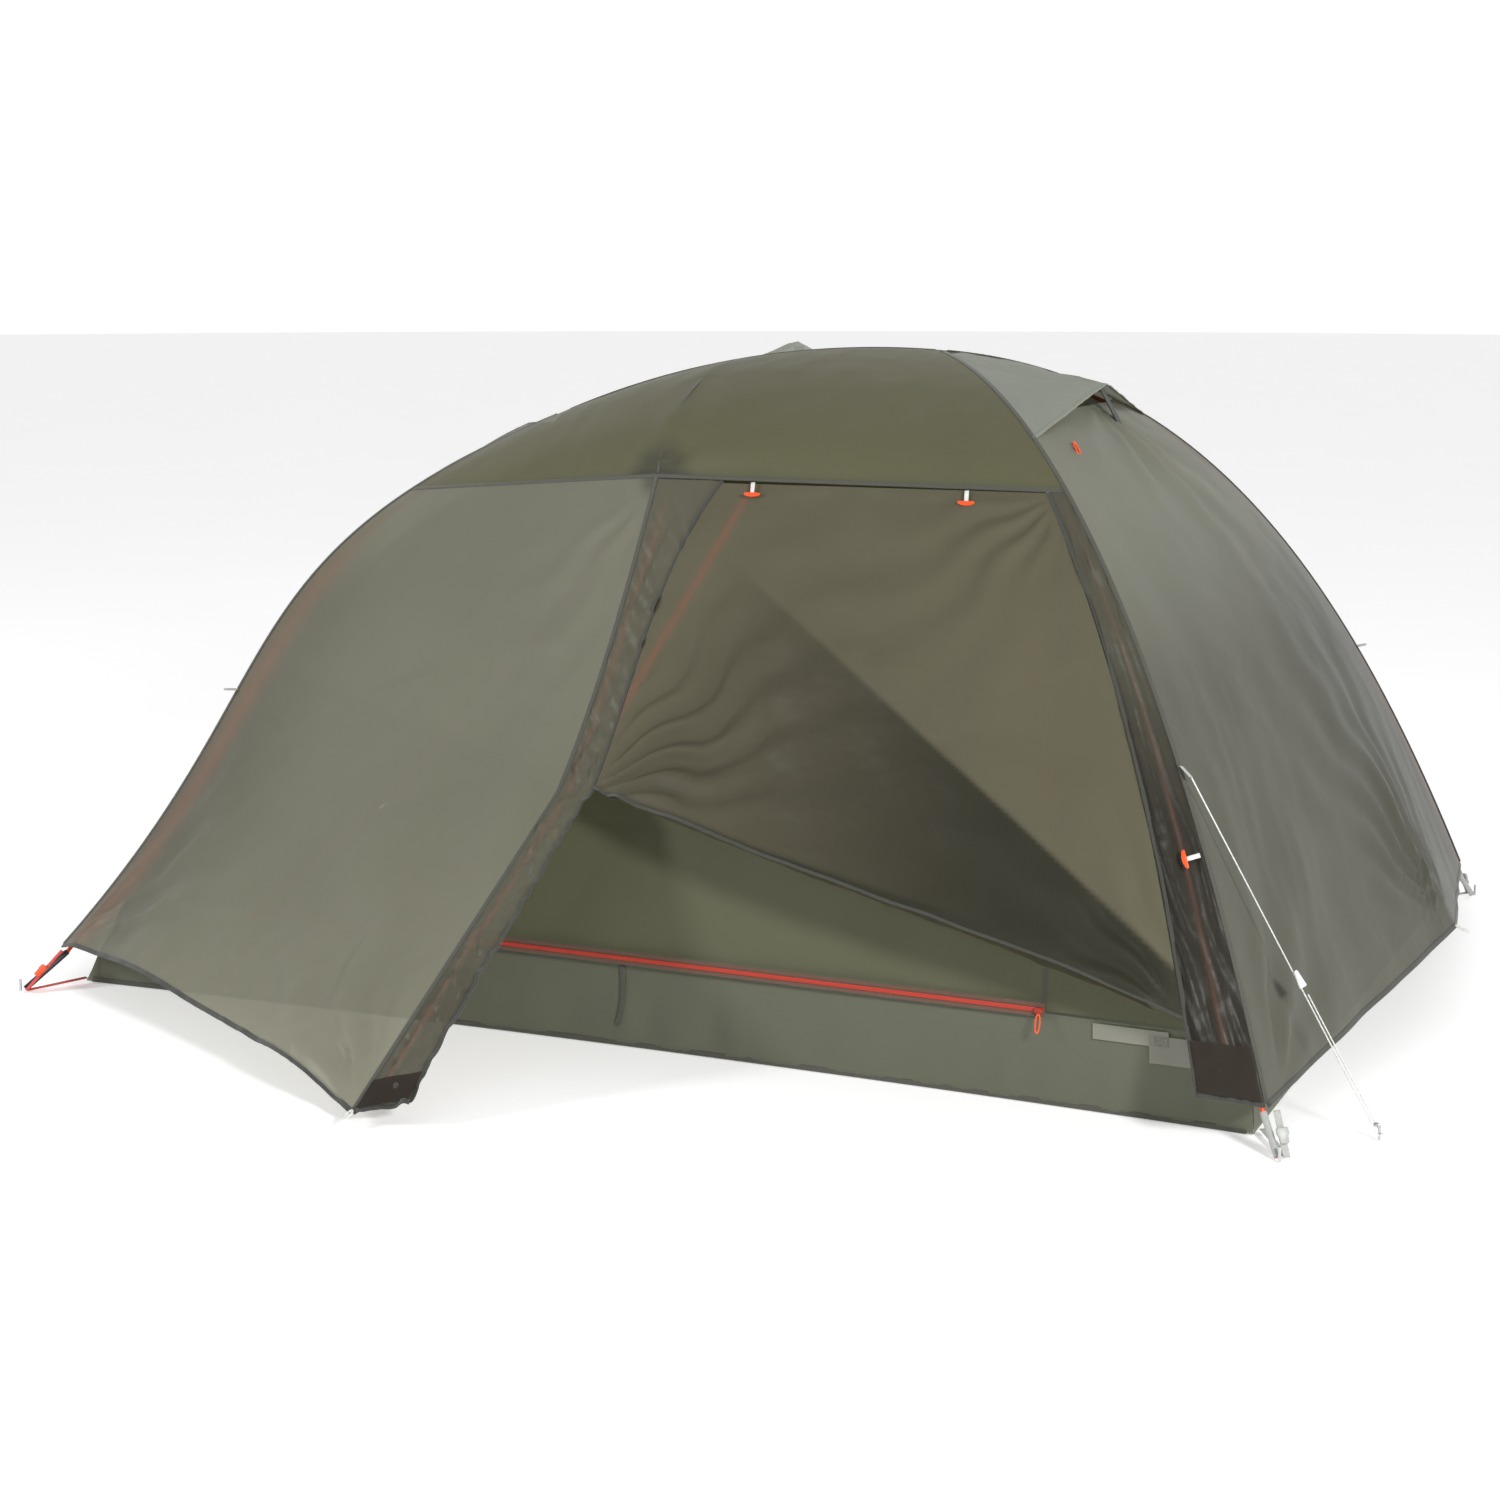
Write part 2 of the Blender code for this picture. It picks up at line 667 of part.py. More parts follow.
def make_poles():
    clearance = HUB_RADIUS + FIT_GAP
    line = [ridge(t) - Vector((0, 0, RIDGE_INSET)) for t in steps(0, 1, 14)]
    line = trimmed(line, hub_centre(FOOT), clearance)
    line = trimmed(line[::-1], hub_centre(HEAD), clearance)
    tube("ridge_pole", "pole", line, POLE_RADIUS)
    near = [under_fly(brow(NEAR, t), BROW_INSET) for t in steps(0.97, 0, 9)]
    near[-1] = ridge(0.5) - Vector((0, 0, BROW_INSET))
    far = [mirrored(p) for p in near[-2::-1]]
    tube("brow_pole", "pole", near + far, BROW_POLE_RADIUS)
    for end, word in ((HEAD, "head"), (FOOT, "foot")):
        disc(f"{word}_hub", "hub", hub_centre(end), HUB_RADIUS, HUB_HEIGHT)
        for side, which in ((NEAR, "near"), (FAR, "far")):
            points = []
            for t in steps(0.02, 0.93, 16):
                depth = mix(RIDGE_INSET, POLE_INSET, min(1, t / 0.25))
                points.append(under_fly(fly_leg(end, side, t), depth))
            points = trimmed(points, hub_centre(end), clearance)
            points.append(under_corner(end, side))
            points.append(pole_tip(end, side) + Vector((0, 0, POLE_RADIUS)))
            tube(f"{word}_{which}_leg", "pole", points, POLE_RADIUS)
    gap = RIDGE_INSET - POLE_RADIUS - BROW_INSET - BROW_POLE_RADIUS
    centre = ridge(0.5) - Vector((0, 0, BROW_INSET + BROW_POLE_RADIUS + gap / 2))
    along = ridge(0.52) - ridge(0.48)
    block("brow_swivel", "hub", centre, along, Vector((0, 1, 0)), (SWIVEL, SWIVEL, gap - 4 * FIT_GAP))


# ---------------------------------------------------------------- rainfly


def make_roof(name, side):
    """Both quarters of one roof side, meeting on the crease over the brow pole."""
    across = [0.008] + steps(0, 1, 12)[1:-1] + [0.992]
    down = [SEAM_GAP] + steps(0, 1, 7)[1:-1] + [1 - SEAM_GAP]
    cloth(name, "fly", lambda u, v: roof_side(side, u, v), across, down)


def make_fly():
    make_roof("fly_roof_near", NEAR)
    make_roof("fly_roof_far", FAR)
    wall_across = [-0.993] + steps(-1, 1, 12)[1:-1] + [0.993]
    cloth("fly_head_wall", "fly", lambda u, t: end_wall(HEAD, u, t), wall_across,
          steps(HOOD_BASE + 0.02, 1, 10))
    cloth("fly_foot_wall", "fly", lambda u, t: end_wall(FOOT, u, t), wall_across, steps(0.05, 1, 12))
    for side, which in ((NEAR, "near"), (FAR, "far")):
        cloth(f"{which}_foot_panel", "fly", lambda u, v: foot_panel(side, u, v),
              steps(0.006, 0.996, 8), steps(0.006, 1, 9))
        cloth(f"{which}_storm_flap", "fly", lambda a, v: door_side(side, mix(0.004, flap_edge(v), a), v),
              steps(0, 1, 2), steps(0.006, 1, 18))
        cloth(f"{which}_head_strip", "fly", lambda a, v: door_side(side, mix(strip_edge(v), 0.996, a), v),
              steps(0, 1, 2), steps(0.006, 1, 10))
    door = cloth("near_door_panel", "fly", near_door, steps(0, 1, 9), steps(0, 1, 9))
    corner = cloth("near_door_corner", "fly", door_corner, steps(0, 1, 8), steps(0, 0.94, 5),
                   depth=CORNER_FOLD_DEPTH)
    far = cloth("far_door_panel", "fly", far_door, steps(0, 1, 9), steps(0, 1, 9))
    put_origin(door, brow_end(NEAR))
    put_origin(corner, brow_end(NEAR))
    put_origin(far, brow_end(FAR))
    cloth("head_vent_hood", "vent_cloth", hood, steps(-0.985, 0.985, 6), steps(0, 1, 4))


def far_hood(u, s):
    """The far roof's small vent: a peaked flap whose free edge stands clear of the roof."""
    along = mix(FAR_HOOD_FOOT, FAR_HOOD_HEAD, (u + 1) / 2)
    point = roof_side(FAR, along, mix(FAR_HOOD_TOP, FAR_HOOD_EDGE, s))
    return point + Vector((0, 0, FAR_HOOD_LIFT + FAR_HOOD_RISE * s * (1 - abs(u))))


def make_vents():
    cloth("far_vent_hood", "vent_cloth", far_hood, steps(-1, 1, 6), steps(0, 1, 4))
    tip = Vector((HOOD_TIP_X, 0, HOOD_TIP_HEIGHT))
    foot = end_wall(HEAD, 0, HOOD_BASE + 0.02)
    start = tip + Vector((-0.010, 0, -0.006))
    stop = foot + Vector((-0.012, 0, 0.006))
    strut = ribbon("head_vent_strut", "strut", [start, stop], Vector((0, 1, 0)), STRUT_WIDTH, 0.002)
    put_origin(strut, start)
    start = far_hood(0, 1) + Vector((0, 0.004, -0.008))
    foot = roof_side(FAR, mix(FAR_HOOD_FOOT, FAR_HOOD_HEAD, 0.5), FAR_HOOD_EDGE)
    strut = ribbon("far_vent_strut", "strut", [start, foot + Vector((0, 0, 0.006))], Vector((1, 0, 0)),
                   STRUT_WIDTH, 0.002)
    put_origin(strut, start)


# ---------------------------------------------------------------- inner tent


def tub_outline(corners, bow, inset):
    """The line round the tub through its four corners, its long sides bowed in."""
    foot_near, head_near, head_far, foot_far = corners
    near, head, far, foot = [], [], [], []
    for share in steps(0, 1, 10)[:-1]:
        dip = Vector((0, bow * (1 - (2 * share - 1) ** 2), 0))
        near.append(foot_near.lerp(head_near, share) + dip)
        far.append(head_far.lerp(foot_far, share) - dip)
    for share in steps(0, 1, 4)[:-1]:
        head.append(head_near.lerp(head_far, share))
        foot.append(foot_far.lerp(foot_near, share))
    half_x, half_y = FLOOR_LENGTH / 2, FLOOR_WIDTH / 2
    shrink = Vector((1 - inset / half_x, 1 - inset / half_y, 1))
    return [point * shrink for point in near + head + far + foot]


def make_tub():
    order = ((FOOT, NEAR), (HEAD, NEAR), (HEAD, FAR), (FOOT, FAR))
    low = [floor_corner(end, side) for end, side in order]
    high = [tub_corner(end, side) for end, side in order]
    inside = [corner + Vector((0, 0, TUB_SKIN)) for corner in low]
    loops = [tub_outline(low, TUB_BOW, 0), tub_outline(high, TUB_TOP_BOW, 0),
             tub_outline(high, TUB_TOP_BOW, TUB_SKIN), tub_outline(inside, TUB_BOW, 2 * TUB_SKIN)]
    count = len(loops[0])
    vertices = [p for loop in loops for p in loop]
    faces = [list(range(count))[::-1], [3 * count + k for k in range(count)]]
    for ring in range(3):
        for k in range(count):
            a, b = ring * count + k, ring * count + (k + 1) % count
            faces.append([a, b, b + count, a + count])
    add_mesh("floor_tub", vertices, faces, "floor_cloth")


def make_inner():
    make_tub()
    cloth("inner_roof", "inner_cloth", inner_roof, steps(0.01, 0.99, 10), steps(-0.99, 0.99, 8))
    columns = steps(0.03, 1, 4) + steps(1, 2, 6)[1:] + steps(2, 2.97, 2)[1:]
    levels = [0.01, INNER_DOOR_TOP] + steps(INNER_DOOR_TOP, 0.999, 6)[1:]
    for side, which in ((NEAR, "near"), (FAR, "far")):
        def wall(u, v):
            return inner_side(side, door_cut(u, v), v)

        cloth(f"inner_{which}_wall", "inner_cloth", wall, columns, levels,
              missing=lambda i, j: 4 <= i < 10 and j >= 1)
        share = INNER_DOOR_GAP
        door = cloth(f"{which}_inner_door", "inner_cloth", wall, steps(1 + share * 2, 2 - share * 2, 8),
                     steps(INNER_DOOR_TOP + share * 1.4, 0.996, 7))
        put_origin(door, wall(1, INNER_DOOR_TOP))
    for end, word in ((HEAD, "head"), (FOOT, "foot")):
        cloth(f"inner_{word}_wall", "inner_cloth", lambda u, t: inner_end(end, u, t),
              steps(-0.985, 0.985, 6), steps(0.05, 0.998, 8))


# ---------------------------------------------------------------- zips


def edge_frame(side, t):
    """On the vestibule edge: the point, the way along, the way inside and the way to the door."""
    point = vestibule_edge(side, t)
    along = (vestibule_edge(side, min(t + 0.01, 1)) - vestibule_edge(side, t - 0.01)).normalized()
    to_door = Vector((-along.y, along.x, 0)).normalized()
    if to_door.x < 0:
        to_door = -to_door
    inward = along.cross(to_door)
    if inward.z > 0:
        inward = -inward
    return point, along, inward, to_door


def make_fly_zip(which, side, slider_at):
    """The vestibule's zip under its storm flap, with its slider on the coil."""
    points = []
    for t in steps(0.03, KNEE + 0.02, 10) + steps(KNEE + 0.02, 0.985, 4)[1:]:
        point, _, inward, to_door = edge_frame(side, t)
        points.append(point + inward * ZIP_DEPTH + to_door * ZIP_ASIDE)
    _, _, _, to_door = edge_frame(side, 0.7)
    ribbon(f"{which}_fly_zip", "zip", points, to_door, ZIP_WIDTH, ZIP_THICKNESS)
    point, along, inward, to_door = edge_frame(side, slider_at)
    depth = ZIP_DEPTH + ZIP_THICKNESS / 2 + SLIDER_HEIGHT / 2 + 2 * FIT_GAP
    centre = point + to_door * ZIP_ASIDE + inward * depth
    slider = block(f"{which}_fly_slider", "zip", centre, along, to_door, SLIDER)
    put_origin(slider, centre)


def head_zip_arc():
    """The zip beside the near head leg follows the circular arc through three points there."""
    marks = [door_side(NEAR, 0.972, v) for v in (0.04, 0.5, 0.96)]
    inward = (Vector((0.3, 0, 0.4)) - marks[1]).normalized()
    marks = [mark + inward * HEAD_ZIP_DEPTH for mark in marks]
    return arc_through(*marks), marks[0]


def make_head_zip():
    arc, start = head_zip_arc()
    centre, axis, _ = arc
    points = [on_arc(arc, start, share) for share in steps(0, 1, 16)]
    ribbon("near_head_zip", "zip", points, axis, ZIP_WIDTH, ZIP_THICKNESS)
    place = on_arc(arc, start, HEAD_SLIDER_AT)
    out = (centre - place).normalized()
    along = axis.cross(out)
    lift = ZIP_THICKNESS / 2 + SLIDER_HEIGHT / 2 + 2 * FIT_GAP
    slider = block("near_head_slider", "zip", place + out * lift, along, axis, SLIDER)
    put_origin(slider, centre)


def inner_zip_line(side):
    """The straight zip above the tub wall, just outside it."""
    foot, head = tub_corner(FOOT, side), tub_corner(HEAD, side)
    out = Vector((0, side * INNER_ZIP_OUT, SEAM_GAP * 2))
    return foot.lerp(head, INNER_DOOR_FOOT) + out, foot.lerp(head, INNER_DOOR_HEAD) + out


def make_inner_zip(which, side):
    foot, head = inner_zip_line(side)
    ribbon(f"{which}_inner_zip", "zip", [foot, head], Vector((0, 0, 1)), ZIP_WIDTH, ZIP_THICKNESS)
    along = (head - foot).normalized()
    out = Vector((-along.y, along.x, 0)) * side
    lift = ZIP_THICKNESS / 2 + SLIDER_HEIGHT / 2 + 2 * FIT_GAP
    centre = head - along * SLIDER_LENGTH / 2 + out * lift
    slider = block(f"{which}_inner_slider", "zip", centre, along, Vector((0, 0, 1)), SLIDER)
    put_origin(slider, centre)


# ---------------------------------------------------------------- straps and fittings


def make_corner(word, end, which, side, orange):
    """The webbing that joins the fly corner, the pole tip and the floor corner."""
    tip = pole_tip(end, side)
    out = Vector((end * TIP_REACH_X, side * TIP_REACH_Y, 0)).normalized()
    aside = Vector((-out.y, out.x, 0))
    step = aside * STRAP_SIDE_STEP
    low = tip + out * 0.004 + Vector((0, 0, 0.006)) + step
    high = fly_corner(end, side) + out * 0.006 + Vector((0, 0, -0.006)) + step
    inner = floor_corner(end, side) + out * 0.004 + Vector((0, 0, 0.012)) + step
    colour = "webbing_red" if orange else "webbing_grey"
    ribbon(f"{word}_{which}_corner_webbing", colour, [high, low, inner], aside, WEBBING, WEBBING_THICKNESS)
    along = (low - high).normalized()
    face = along.cross(aside).normalized()
    if face.dot(out) < 0:
        face = -face
    centre = high.lerp(low, 0.55) + face * (WEBBING_THICKNESS / 2 + BUCKLE[2] / 2 + 2 * FIT_GAP)
    shell = "buckle_orange" if orange else "buckle_grey"
    buckle = block(f"{word}_{which}_corner_buckle", shell, centre, along, aside, BUCKLE, 0.8)
    put_origin(buckle, centre)


def door_plane_down():
    """The way down the near door just below its seam, and its outward way."""
    top = door_side(NEAR, 0.4, 0.02)
    down = (door_side(NEAR, 0.4, 0.08) - top).normalized()
    out = Vector((1, 0, 0)).cross(down).normalized()
    if out.y > 0:
        out = -out
    return down, out


def make_toggle(name, x, top, down, out):
    """A hanging toggle: a strap ending in a crossbar, cut as one flat T."""
    half_strap, half_bar, bar = 0.004, TOGGLE_BAR / 2, 0.008
    outline = [(-half_strap, 0), (half_strap, 0), (half_strap, TOGGLE_STRAP), (half_bar, TOGGLE_STRAP),
               (half_bar, TOGGLE_STRAP + bar), (-half_bar, TOGGLE_STRAP + bar),
               (-half_bar, TOGGLE_STRAP), (-half_strap, TOGGLE_STRAP)]
    thick = 0.004
    vertices = []
    for level in (0, thick):
        for across, drop in outline:
            vertices.append(top + x * across + down * drop + out * level)
    count = len(outline)
    faces = [list(range(count)), [count + k for k in range(count)][::-1]]
    faces += [[k, (k + 1) % count, (k + 1) % count + count, k + count] for k in range(count)]
    toggle = add_mesh(name, vertices, faces, "toggle")
    put_origin(toggle, top)


def make_toggles():
    down, out = door_plane_down()
    start, end = brow_end(NEAR), seam_point(HEAD, NEAR)
    for name, place in (("near_foot_toggle", TOGGLE_FOOT_X), ("near_head_toggle", TOGGLE_HEAD_X)):
        share = (place - start.x) / (end.x - start.x)
        top = start.lerp(end, share) + down * 0.010 + out * TOGGLE_OUT
        make_toggle(name, Vector((1, 0, 0)), top, down, out)
    leg_way = (fly_leg(HEAD, NEAR, 0.84) - fly_leg(HEAD, NEAR, 0.80)).normalized()
    top = door_side(NEAR, 0.992, 0.67)
    towards = (door_side(NEAR, 0.965, 0.68) - top).normalized()
    out = leg_way.cross(towards).normalized()
    if out.y > 0:
        out = -out
    make_toggle("door_tie", leg_way, top + out * 0.004, towards, out)


# ---------------------------------------------------------------- guy line


def guy_ends():
    """The guy loop's root on the near head leg, and where the cord leaves the loop."""
    seam = fly_leg(HEAD, NEAR, GUY_ON_LEG)
    outward = Vector((seam.x - HEAD_HUB_X, seam.y, 0)).normalized()
    root = seam + outward * 0.007
    towards = (Vector((PEG_X, PEG_Y, 0)) - seam).normalized()
    return root, root + (outward * 0.6 + towards * 0.6).normalized() * GUY_LOOP


def guy_route():
    """Down to the peg, round it, and back up to the tensioner."""
    _, top = guy_ends()
    peg = Vector((PEG_X, PEG_Y, GUY_HOLD_HEIGHT))
    level = Vector((peg.x - top.x, peg.y - top.y, 0)).normalized()
    aside = Vector((-level.y, level.x, 0))
    wide = PEG_RADIUS + GUY_RADIUS + FIT_GAP
    round_peg = [peg + level * wide * sin(a) - aside * wide * cos(a) for a in steps(0, pi, 8)]
    down = [top.lerp(round_peg[0], share) for share in steps(0, 0.98, 20)]
    knot = top.lerp(round_peg[0], TENSIONER_SHARE) + aside * GUY_SPREAD
    back = [round_peg[-1].lerp(knot, share) for share in steps(0.03, 0.94, 12)]
    return down + round_peg + back


def make_guy():
    root, top = guy_ends()
    peg = Vector((PEG_X, PEG_Y, 0))
    way = (top - root).normalized()
    ribbon("guy_loop", "webbing_grey", [root, top - way * 0.002], Vector((-way.y, way.x, 0)), 0.010, 0.002)
    route = guy_route()
    tube("guyline", "cord", route, GUY_RADIUS)
    disc("guy_peg", "peg", peg + Vector((0, 0, PEG_HEIGHT / 2)), PEG_RADIUS, PEG_HEIGHT, 12)
    along = (route[20] - route[0]).normalized()
    aside = Vector((-along.y, along.x, 0)).normalized()
    over = aside.cross(along)
    if over.z < 0:
        over = -over
    size = (TENSIONER_LENGTH, TENSIONER_LENGTH * 0.8, 0.005)
    lift = GUY_RADIUS + size[2] / 2 + FIT_GAP
    centre = top.lerp(route[20], (TENSIONER_SHARE - 0.02) / 0.98) + over * lift
    tensioner = block("guy_tensioner", "cord", centre, -along, aside, size, 0.35)
    put_origin(tensioner, centre)


def clear_scene():
    for thing in list(bpy.data.objects):
        bpy.data.objects.remove(thing)


def main():
    clear_scene()
    make_poles()
    make_fly()
    make_vents()
    make_inner()
    make_fly_zip("near", NEAR, KNEE + 0.03)
    make_fly_zip("far", FAR, 0.96)
    make_head_zip()
    make_inner_zip("near", NEAR)
    make_inner_zip("far", FAR)
    for word, end in (("head", HEAD), ("foot", FOOT)):
        for which, side in (("near", NEAR), ("far", FAR)):
            make_corner(word, end, which, side, end == FOOT)
    make_toggles()
    make_guy()


main()
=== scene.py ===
# %% [markdown]
# # A backpacking tent, pitched with its rainfly on
#
# This file dresses a plain frame of a tent. Poles and hubs keep the frame's own shape and
# only gain a finish. Everything that is sewn is made again here as cloth, on the same lines
# as the frame, so that every piece moves with the frame's bodies.

from math import atan2, cos, exp, pi, radians, sin

import bmesh
import bpy
from mathutils import Matrix, Vector, noise


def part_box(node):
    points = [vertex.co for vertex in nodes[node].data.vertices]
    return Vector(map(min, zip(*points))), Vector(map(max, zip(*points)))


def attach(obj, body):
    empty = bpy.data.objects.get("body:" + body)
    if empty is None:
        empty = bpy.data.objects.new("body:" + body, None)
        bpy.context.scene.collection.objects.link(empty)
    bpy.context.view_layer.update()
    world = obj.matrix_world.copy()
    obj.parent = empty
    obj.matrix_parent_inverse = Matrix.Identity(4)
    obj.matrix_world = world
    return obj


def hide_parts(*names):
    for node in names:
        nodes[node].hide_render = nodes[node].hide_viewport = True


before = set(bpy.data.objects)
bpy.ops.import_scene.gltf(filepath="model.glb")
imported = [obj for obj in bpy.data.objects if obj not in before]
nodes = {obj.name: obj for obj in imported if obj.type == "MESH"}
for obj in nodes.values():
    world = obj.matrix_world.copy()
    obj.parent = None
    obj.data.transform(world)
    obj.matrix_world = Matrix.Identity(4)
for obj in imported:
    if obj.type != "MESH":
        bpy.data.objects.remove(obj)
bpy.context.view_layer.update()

# %% [markdown]
# The camera comes first, because every later choice is judged through it. It stands a little
# above the ridge, round to the head side of the near door. Aiming is done with
# `to_track_quat`, which turns a direction into a rotation.

# %% Camera
CAMERA_AT = Vector((2.0882, -5.0078, 1.4217))
CAMERA_TO = Vector((-0.0722, -0.0812, 0.4116))

lens = bpy.data.cameras.new("camera")
lens.lens = 64.66
lens.sensor_width = 36
camera = bpy.data.objects.new("camera", lens)
bpy.context.scene.collection.objects.link(camera)
camera.location = CAMERA_AT
camera.rotation_euler = (CAMERA_TO - CAMERA_AT).to_track_quat("-Z", "Y").to_euler()
bpy.context.scene.camera = camera
print("camera is", round((CAMERA_TO - CAMERA_AT).length, 2), "m from what it looks at")

# %% [markdown]
# A tent is drawn by a handful of lines: the ridge, four legs, the brow pole and the hems.
# Each one is a Bezier curve through a few control points, and they repeat the frame's own
# measures, so that the cloth made on them lands exactly where the frame is.

# %% Lines of the tent
FLOOR_LENGTH, FLOOR_WIDTH, TUB_HEIGHT = 2.315, 1.70, 0.160
HEAD, FOOT, NEAR, FAR = 1, -1, -1, 1
HUBS = {HEAD: Vector((0.295, 0, 1.219)), FOOT: Vector((-0.522, 0, 1.083))}
BROW_X, RIDGE_HEIGHT = -0.118, 1.197
LEGS = {HEAD: (52.0, 0.08, 0.648, 0.626, 0.512), FOOT: (45.2, 0.363, 0.748, 0.498, 1.026)}
LAPS = {HEAD: (0.0375, 0.081), FOOT: (0.0225, 0.039)}
LEANS = {HEAD: (0.012, 0.0), FOOT: (0.065, 0.050)}
SEAM_ON_LEG = {HEAD: 0.38, FOOT: 0.19}
KNEE = 0.47


def mix(a, b, share):
    return a + (b - a) * share


def clamp(x, low=0.0, high=1.0):
    return max(low, min(high, x))


def smooth(x):
    x = clamp(x)
    return x * x * (3 - 2 * x)


def steps(low, high, count):
    return [mix(low, high, i / count) for i in range(count + 1)]


def bezier(points, t):
    while len(points) > 1:
        points = [a.lerp(b, t) for a, b in zip(points, points[1:])]
    return points[0]


def floor_corner(end, side):
    return Vector((end * FLOOR_LENGTH / 2, side * FLOOR_WIDTH / 2, 0))


def fly_corner(end, side):
    lap_x, lap_y = LAPS[end]
    return floor_corner(end, side) + Vector((end * lap_x, side * lap_y, 0.080))


def tub_corner(end, side):
    lean_x, lean_y = LEANS[end]
    return floor_corner(end, side) + Vector((-end * lean_x, -side * lean_y, TUB_HEIGHT))


def pole_tip(end, side):
    return floor_corner(end, side) + Vector((end * 0.0625, side * 0.105, 0))


def leg_curve(end, side, hub, corner, scale, t):
    heading, fall, reach, rise, lean = LEGS[end]
    away = Vector((end * cos(radians(heading)), side * sin(radians(heading)), -fall))
    back = Vector((hub.x - corner.x, hub.y - corner.y, 0)).normalized()
    up = Vector((back.x * lean, back.y * lean, 1))
    return bezier([hub, hub + away * reach * scale, corner + up * rise * scale, corner], t)


def fly_leg(end, side, t):
    return leg_curve(end, side, HUBS[end], fly_corner(end, side), 1.0, t)


def inner_leg(end, side, t):
    hub = HUBS[end] - Vector((end * 0.03, 0, 0.06))
    return leg_curve(end, side, hub, tub_corner(end, side) + Vector((0, 0, 0.004)), 0.92, t)


def ridge(t):
    peak = Vector((BROW_X, 0, RIDGE_HEIGHT)) * 2 - (HUBS[FOOT] + HUBS[HEAD]) / 2
    return bezier([HUBS[FOOT], peak, HUBS[HEAD]], t)


def brow_end(side):
    return Vector((BROW_X, side * 0.413, 0.9915))


def brow(side, t):
    shoulder = Vector((BROW_X, side * 0.33, RIDGE_HEIGHT - 0.012))
    return bezier([ridge(0.5), shoulder, brow_end(side)], t)


def vestibule_peg(side):
    return Vector((-0.212, side * 1.389, 0.020))


def vestibule_edge(side, t):
    top, foot = brow_end(side), vestibule_peg(side)

    def place(reach, height):
        point = top.lerp(foot, reach)
        point.z = height
        return point

    knee = place(0.361, 0.443)
    if t < KNEE:
        return bezier([top, place(0.194, 0.625), knee], t / KNEE)
    return knee.lerp(foot, (t - KNEE) / (1 - KNEE))


def seam_point(end, side):
    return fly_leg(end, side, SEAM_ON_LEG[end])


def hem_point(start, end, t):
    return start.lerp(end, t) + Vector((0, 0, 0.038 * (1 - (2 * t - 1) ** 4)))


print("ridge runs", round((HUBS[HEAD] - HUBS[FOOT]).length, 3), "m between the hubs")

# %% [markdown]
# Between four edge lines, a Coons patch is the simplest surface that keeps all of them: it
# adds the two ruled surfaces and takes away the corners that were counted twice. Taut cloth
# is close to that shape, because it pulls itself smooth between the lines that hold it.

# %% Surfaces between the lines


def coons(top, bottom, left, right, u, v):
    ruled = top(u) * (1 - v) + bottom(u) * v + left(v) * (1 - u) + right(v) * u
    corners = top(0) * (1 - u) * (1 - v) + top(1) * u * (1 - v)
    return ruled - corners - bottom(0) * (1 - u) * v - bottom(1) * u * v


def roof_quarter(end, side, u, v):
    hub_share = 0.0 if end == FOOT else 1.0
    return coons(
        lambda s: ridge(mix(hub_share, 0.5, s)),
        lambda s: seam_point(end, side).lerp(brow_end(side), s),
        lambda s: fly_leg(end, side, SEAM_ON_LEG[end] * s),
        lambda s: brow(side, s), u, v)


def roof_side(side, u, v):
    if u < 0.5:
        return roof_quarter(FOOT, side, u * 2, v)
    return roof_quarter(HEAD, side, 2 - u * 2, v)


def foot_panel(side, u, v):
    return coons(
        lambda s: seam_point(FOOT, side).lerp(brow_end(side), s),
        lambda s: hem_point(fly_corner(FOOT, side), vestibule_peg(side), s),
        lambda s: fly_leg(FOOT, side, mix(SEAM_ON_LEG[FOOT], 1, s)),
        lambda s: vestibule_edge(side, s), u, v)


def door_side(side, u, v):
    return coons(
        lambda s: brow_end(side).lerp(seam_point(HEAD, side), s),
        lambda s: hem_point(vestibule_peg(side), fly_corner(HEAD, side), s),
        lambda s: vestibule_edge(side, s),
        lambda s: fly_leg(HEAD, side, mix(SEAM_ON_LEG[HEAD], 1, s)), u, v)


def end_wall(end, u, t):
    leg = fly_leg(end, NEAR, t)
    lap = 1.332 - abs(fly_corner(end, NEAR).x)
    crease = smooth((t - 0.55) / 0.45)
    swell = mix(1 - u * u, 1 - abs(u), crease)
    out = swell * mix(0.035, lap, t ** 1.5)
    return Vector((leg.x + end * out, -leg.y * u, leg.z + swell * 0.090 * t ** 3))


def flap_edge(v):
    return 0.045 + 0.13 * (1 - v) ** 10 + 0.03 * sin(pi * v) * (1 - v) + 0.02 * v ** 3


def strip_edge(v):
    return 0.955 - 0.03 * v


def near_door(a, b):
    v = mix(0.006, mix(0.475, 0.90, a), b)
    return door_side(NEAR, mix(flap_edge(v) + 0.004, strip_edge(v) - 0.004, a), v)


def far_door(a, b):
    v = mix(0.006, 0.998, b)
    return door_side(FAR, mix(flap_edge(v) + 0.004, strip_edge(v) - 0.004, a), v)


def door_corner(a, b):
    v = mix(0.487, 0.888, a)
    u = mix(flap_edge(v) + 0.03, strip_edge(v) - 0.03, a)
    return door_side(NEAR, mix(u, 0.24, b), mix(v, 0.12, b))


def head_hood(u, s):
    t = mix(0.03, 0.285, s)
    leg = fly_leg(HEAD, NEAR, t)
    crest = HUBS[HEAD].lerp(Vector((0.631, 0, 1.162)), t / 0.285)
    if abs(u) < 1e-6:
        return crest
    return crest.lerp(Vector((leg.x, leg.y * -u / abs(u), leg.z)), abs(u))


def far_hood(u, s):
    point = roof_side(FAR, mix(0.38, 0.62, (u + 1) / 2), mix(0.14, 0.52, s))
    return point + Vector((0, 0, 0.005 + 0.080 * s * (1 - abs(u))))


